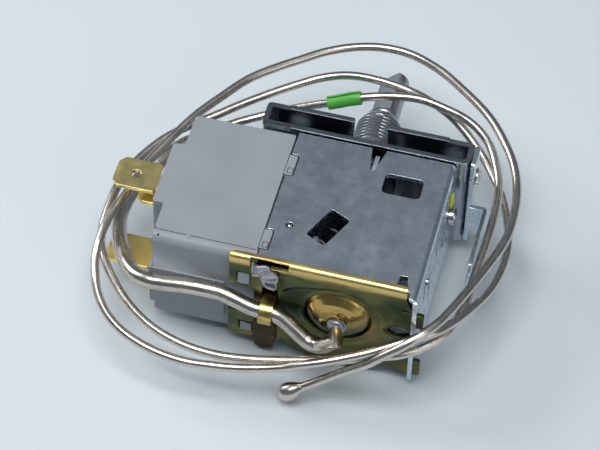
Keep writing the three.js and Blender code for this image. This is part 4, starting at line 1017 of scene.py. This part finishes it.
def bracket():
    """A strip bent into two channels at the top, joined by a wall that the bushing passes through."""
    left, right, top, web_bottom, face = 13.3, 50.0, 23.8, 2.6, 33.8
    near, t, r, far = 28.6, 1.0, 1.7, 0.8
    gap0, gap1, fixing = 28.7, 34.6, 14
    # The wall, both bends and both flanges are one strip, seen from above.
    strip = fillet([
        (left, near), (right, near), (right, face), (gap1, face), (gap1, face - t), (right - t, face - t),
        (right - t, near + t), (left + t, near + t), (left + t, face - t), (gap0, face - t), (gap0, face),
        (left, face),
    ], [1.1, r, far, 0.15, 0.15, 0.2, r - t, 0.3, 0.2, 0.15, 0.15, far], 6)
    upper = prism(strip, web_bottom, top, "z", (), 0.1)
    feet = [prism(fillet(box(x0, x1, 0, 6), 0.3), face - t, face, "y", (), 0.1)
            for x0, x1 in ((left + 0.9, gap0), (gap1, right - 0.9))]
    mesh = carve(upper, feet, "UNION")
    cuts = [drill("y", AXIS_X, AXIS_Z, 4.28, near - 1, near + 2, 56),
            drill("y", AXIS_X, AXIS_Z, 4.85, face - 2, face + 1, 56),
            drill("x", *RIVET_AT, 1.08, right - 3, right + 3)]
    for x in (AXIS_X - fixing, AXIS_X + fixing):
        cuts.append(drill("y", x, AXIS_Z, 1.68, face - 3, face + 1, 36))
    # Small steps where the strip was cut off: the ends of both top edges stand a little lower.
    for x0, x1 in ((left - 1, left + 4.3), (right - 4.6, right + 1)):
        cuts.append(block((x0, x1), (face - t - 0.3, face + 1), (top - 0.35, top + 1)))
    cuts.append(block((left - 1, left + 5.2), (near - 1, near + 0.45), (top - 0.9, top + 1)))
    # The bracket takes the darker zinc, which is painted shade.
    piece("mounting_bracket_formed", carve(mesh, cuts), ZINC_SHADED, ["mounting_bracket"], edge=0.05)


# ---------------------------------------------------------------- terminals and fastenings
def blade_outline(x0, x1, y0, y1):
    """A push-on blade, with its tip at x0 chamfered."""
    c = 1.1
    return fillet([(x0, y0 + c), (x0 + c, y0), (x1, y0), (x1, y1), (x0 + c, y1), (x0, y1 - c)], 0.25, 3)


def terminals():
    tails = {
        "1": [block((-1.3, 18), (12.6, 15.4), (19.53, 20.27)), block((14.8, 17.95), (14.6, 15.4), (7.8, 20.2))],
        "2": [block((-0.8, 9), (11.7, 17.4), (16.65, 17.35))],
        "3": [block((-0.8, 5.3), (5.8, 11.1), (6.63, 7.37)), block((3.9, 5.3), (10.2, 11.8), (6.65, 11.5))],
    }
    for name, ((x0, x1), (y0, y1), (z0, z1), from_tip) in BLADES.items():
        holes = [ring(x0 + from_tip, (y0 + y1) / 2, BLADE_HOLE_R, 28)[::-1]] if from_tip else []
        flat = prism(blade_outline(x0, x1, y0, y1), z0, z1, "z", holes, 0.12)
        # The lead-in at the blade's end is coined thinner on both faces.
        wedges = [prism([(x0 - 0.1, z), (x0 + 1.0, z), (x0 - 0.1, z + dip)], y0 - 1, y1 + 1, "y", (), 0.001)
                  for z, dip in ((z1, -0.2), (z0, 0.2))]
        mesh = carve(carve(flat, wedges), tails[name], "UNION")
        piece("blade_terminal_" + name, mesh, BRASS, ["terminal_" + name], edge=0.03)


def earth_terminal():
    """A backing plate riveted to the bracket, with a blade bent back along the frame's side."""
    inner, sheet, blade_x = 50.1, 0.8, (53.0, 53.8)
    z0, z1, tip = 6.5, 12.8, 15.2
    backing = prism(fillet(box(28.45, 33.4, 3.2, 23.8), 0.8), inner, inner + sheet, "x", (), 0.1)
    strip = prism([(inner + 0.1, 28.4), (inner + 0.1, 29.2), (52.5, 29.2), (53.0, 29.2), (53.3, 29.2),
                   *arc(53.0, 28.4, 0.8, math.pi / 3, 0, 4), (53.8, 24), (53.0, 24), (53.0, 28.4)], z0, z1, "z",
                  (), 0.08)
    blade = prism(fillet([(tip, z0 + 1.1), (tip + 1.1, z0), (28.6, z0), (28.6, z1), (tip + 1.1, z1),
                          (tip, z1 - 1.1)], 0.25, 3),
                  *blade_x, "x", [ring(tip + 3.2, (z0 + z1) / 2, BLADE_HOLE_R, 28)[::-1]], 0.16)
    mesh = carve(backing, [strip, blade], "UNION")
    mesh = carve(mesh, [drill("x", *RIVET_AT, 1.08, 47, 53)])
    piece("earth_terminal_formed", mesh, ZINC, ["earth_terminal"], edge=0.03)
    profile = [(0, 48.8), (1.0, 48.8), (1.0, 50.98), (1.65, 50.98), (1.62, 51.2), (1.3, 51.5), (0.7, 51.66),
               (0, 51.7)]
    piece("earth_rivet_head", headed(profile, *RIVET_AT), STEEL, ["earth_rivet"])


def side_screw():
    profile = [(0, 42), (0.95, 42), (0.95, 47.9), (1.5, 47.9), (1.5, 48.8), (1.38, 49.0), (0, 49.1)]
    head = carve(headed(profile, *SCREW_AT), [block((48.6, 50), (24.15, 24.65), (11, 18))])
    piece("differential_screw_head", head, STEEL, ["differential_screw"], "differential_screw", edge=0.04)
    # A drop of lacquer above it, squeezed flat against the side.
    made = bmesh.new()
    bmesh.ops.create_icosphere(made, subdivisions=4, radius=1)
    for vert in made.verts:
        swell = 1 + 0.22 * noise.noise(vert.co * 1.7 + Vector((4, 2, 9)))
        vert.co = Vector((47.9 + max(-0.04, vert.co.x * 0.55 * swell), 25.0 + vert.co.y * 1.2 * swell,
                          17.9 + vert.co.z * 1.75 * swell))
    piece("lock_lacquer_drop", finished(made, "lacquer"), LACQUER, ["lock_lacquer"])


# ---------------------------------------------------------------- the whole thermostat
sensing_tube()
stem()
element_plate()
dish_relief()
dome()
collar()
stem_clip()
locking_tab()
housing()
cover()
steel_frame()
inside()
helix_bushing()
spindle()
bracket()
terminals()
earth_terminal()
side_screw()

# Pieces inside the body keep their CAD shape.
keep(STEEL, "fixed_contact", "moving_contact", "range_screw", "carrier_guide_pin", "lever_pivot_pin",
     "diaphragm_button")
keep(SPRING, "contact_arm", "toggle_spring", "diaphragm", "range_spring", "spindle_circlip")
keep(CARD, "insulation_card")
keep(DARK, "push_rod", "control_cam")
keep(ZINC, "element_base", "main_lever", "spring_carrier")
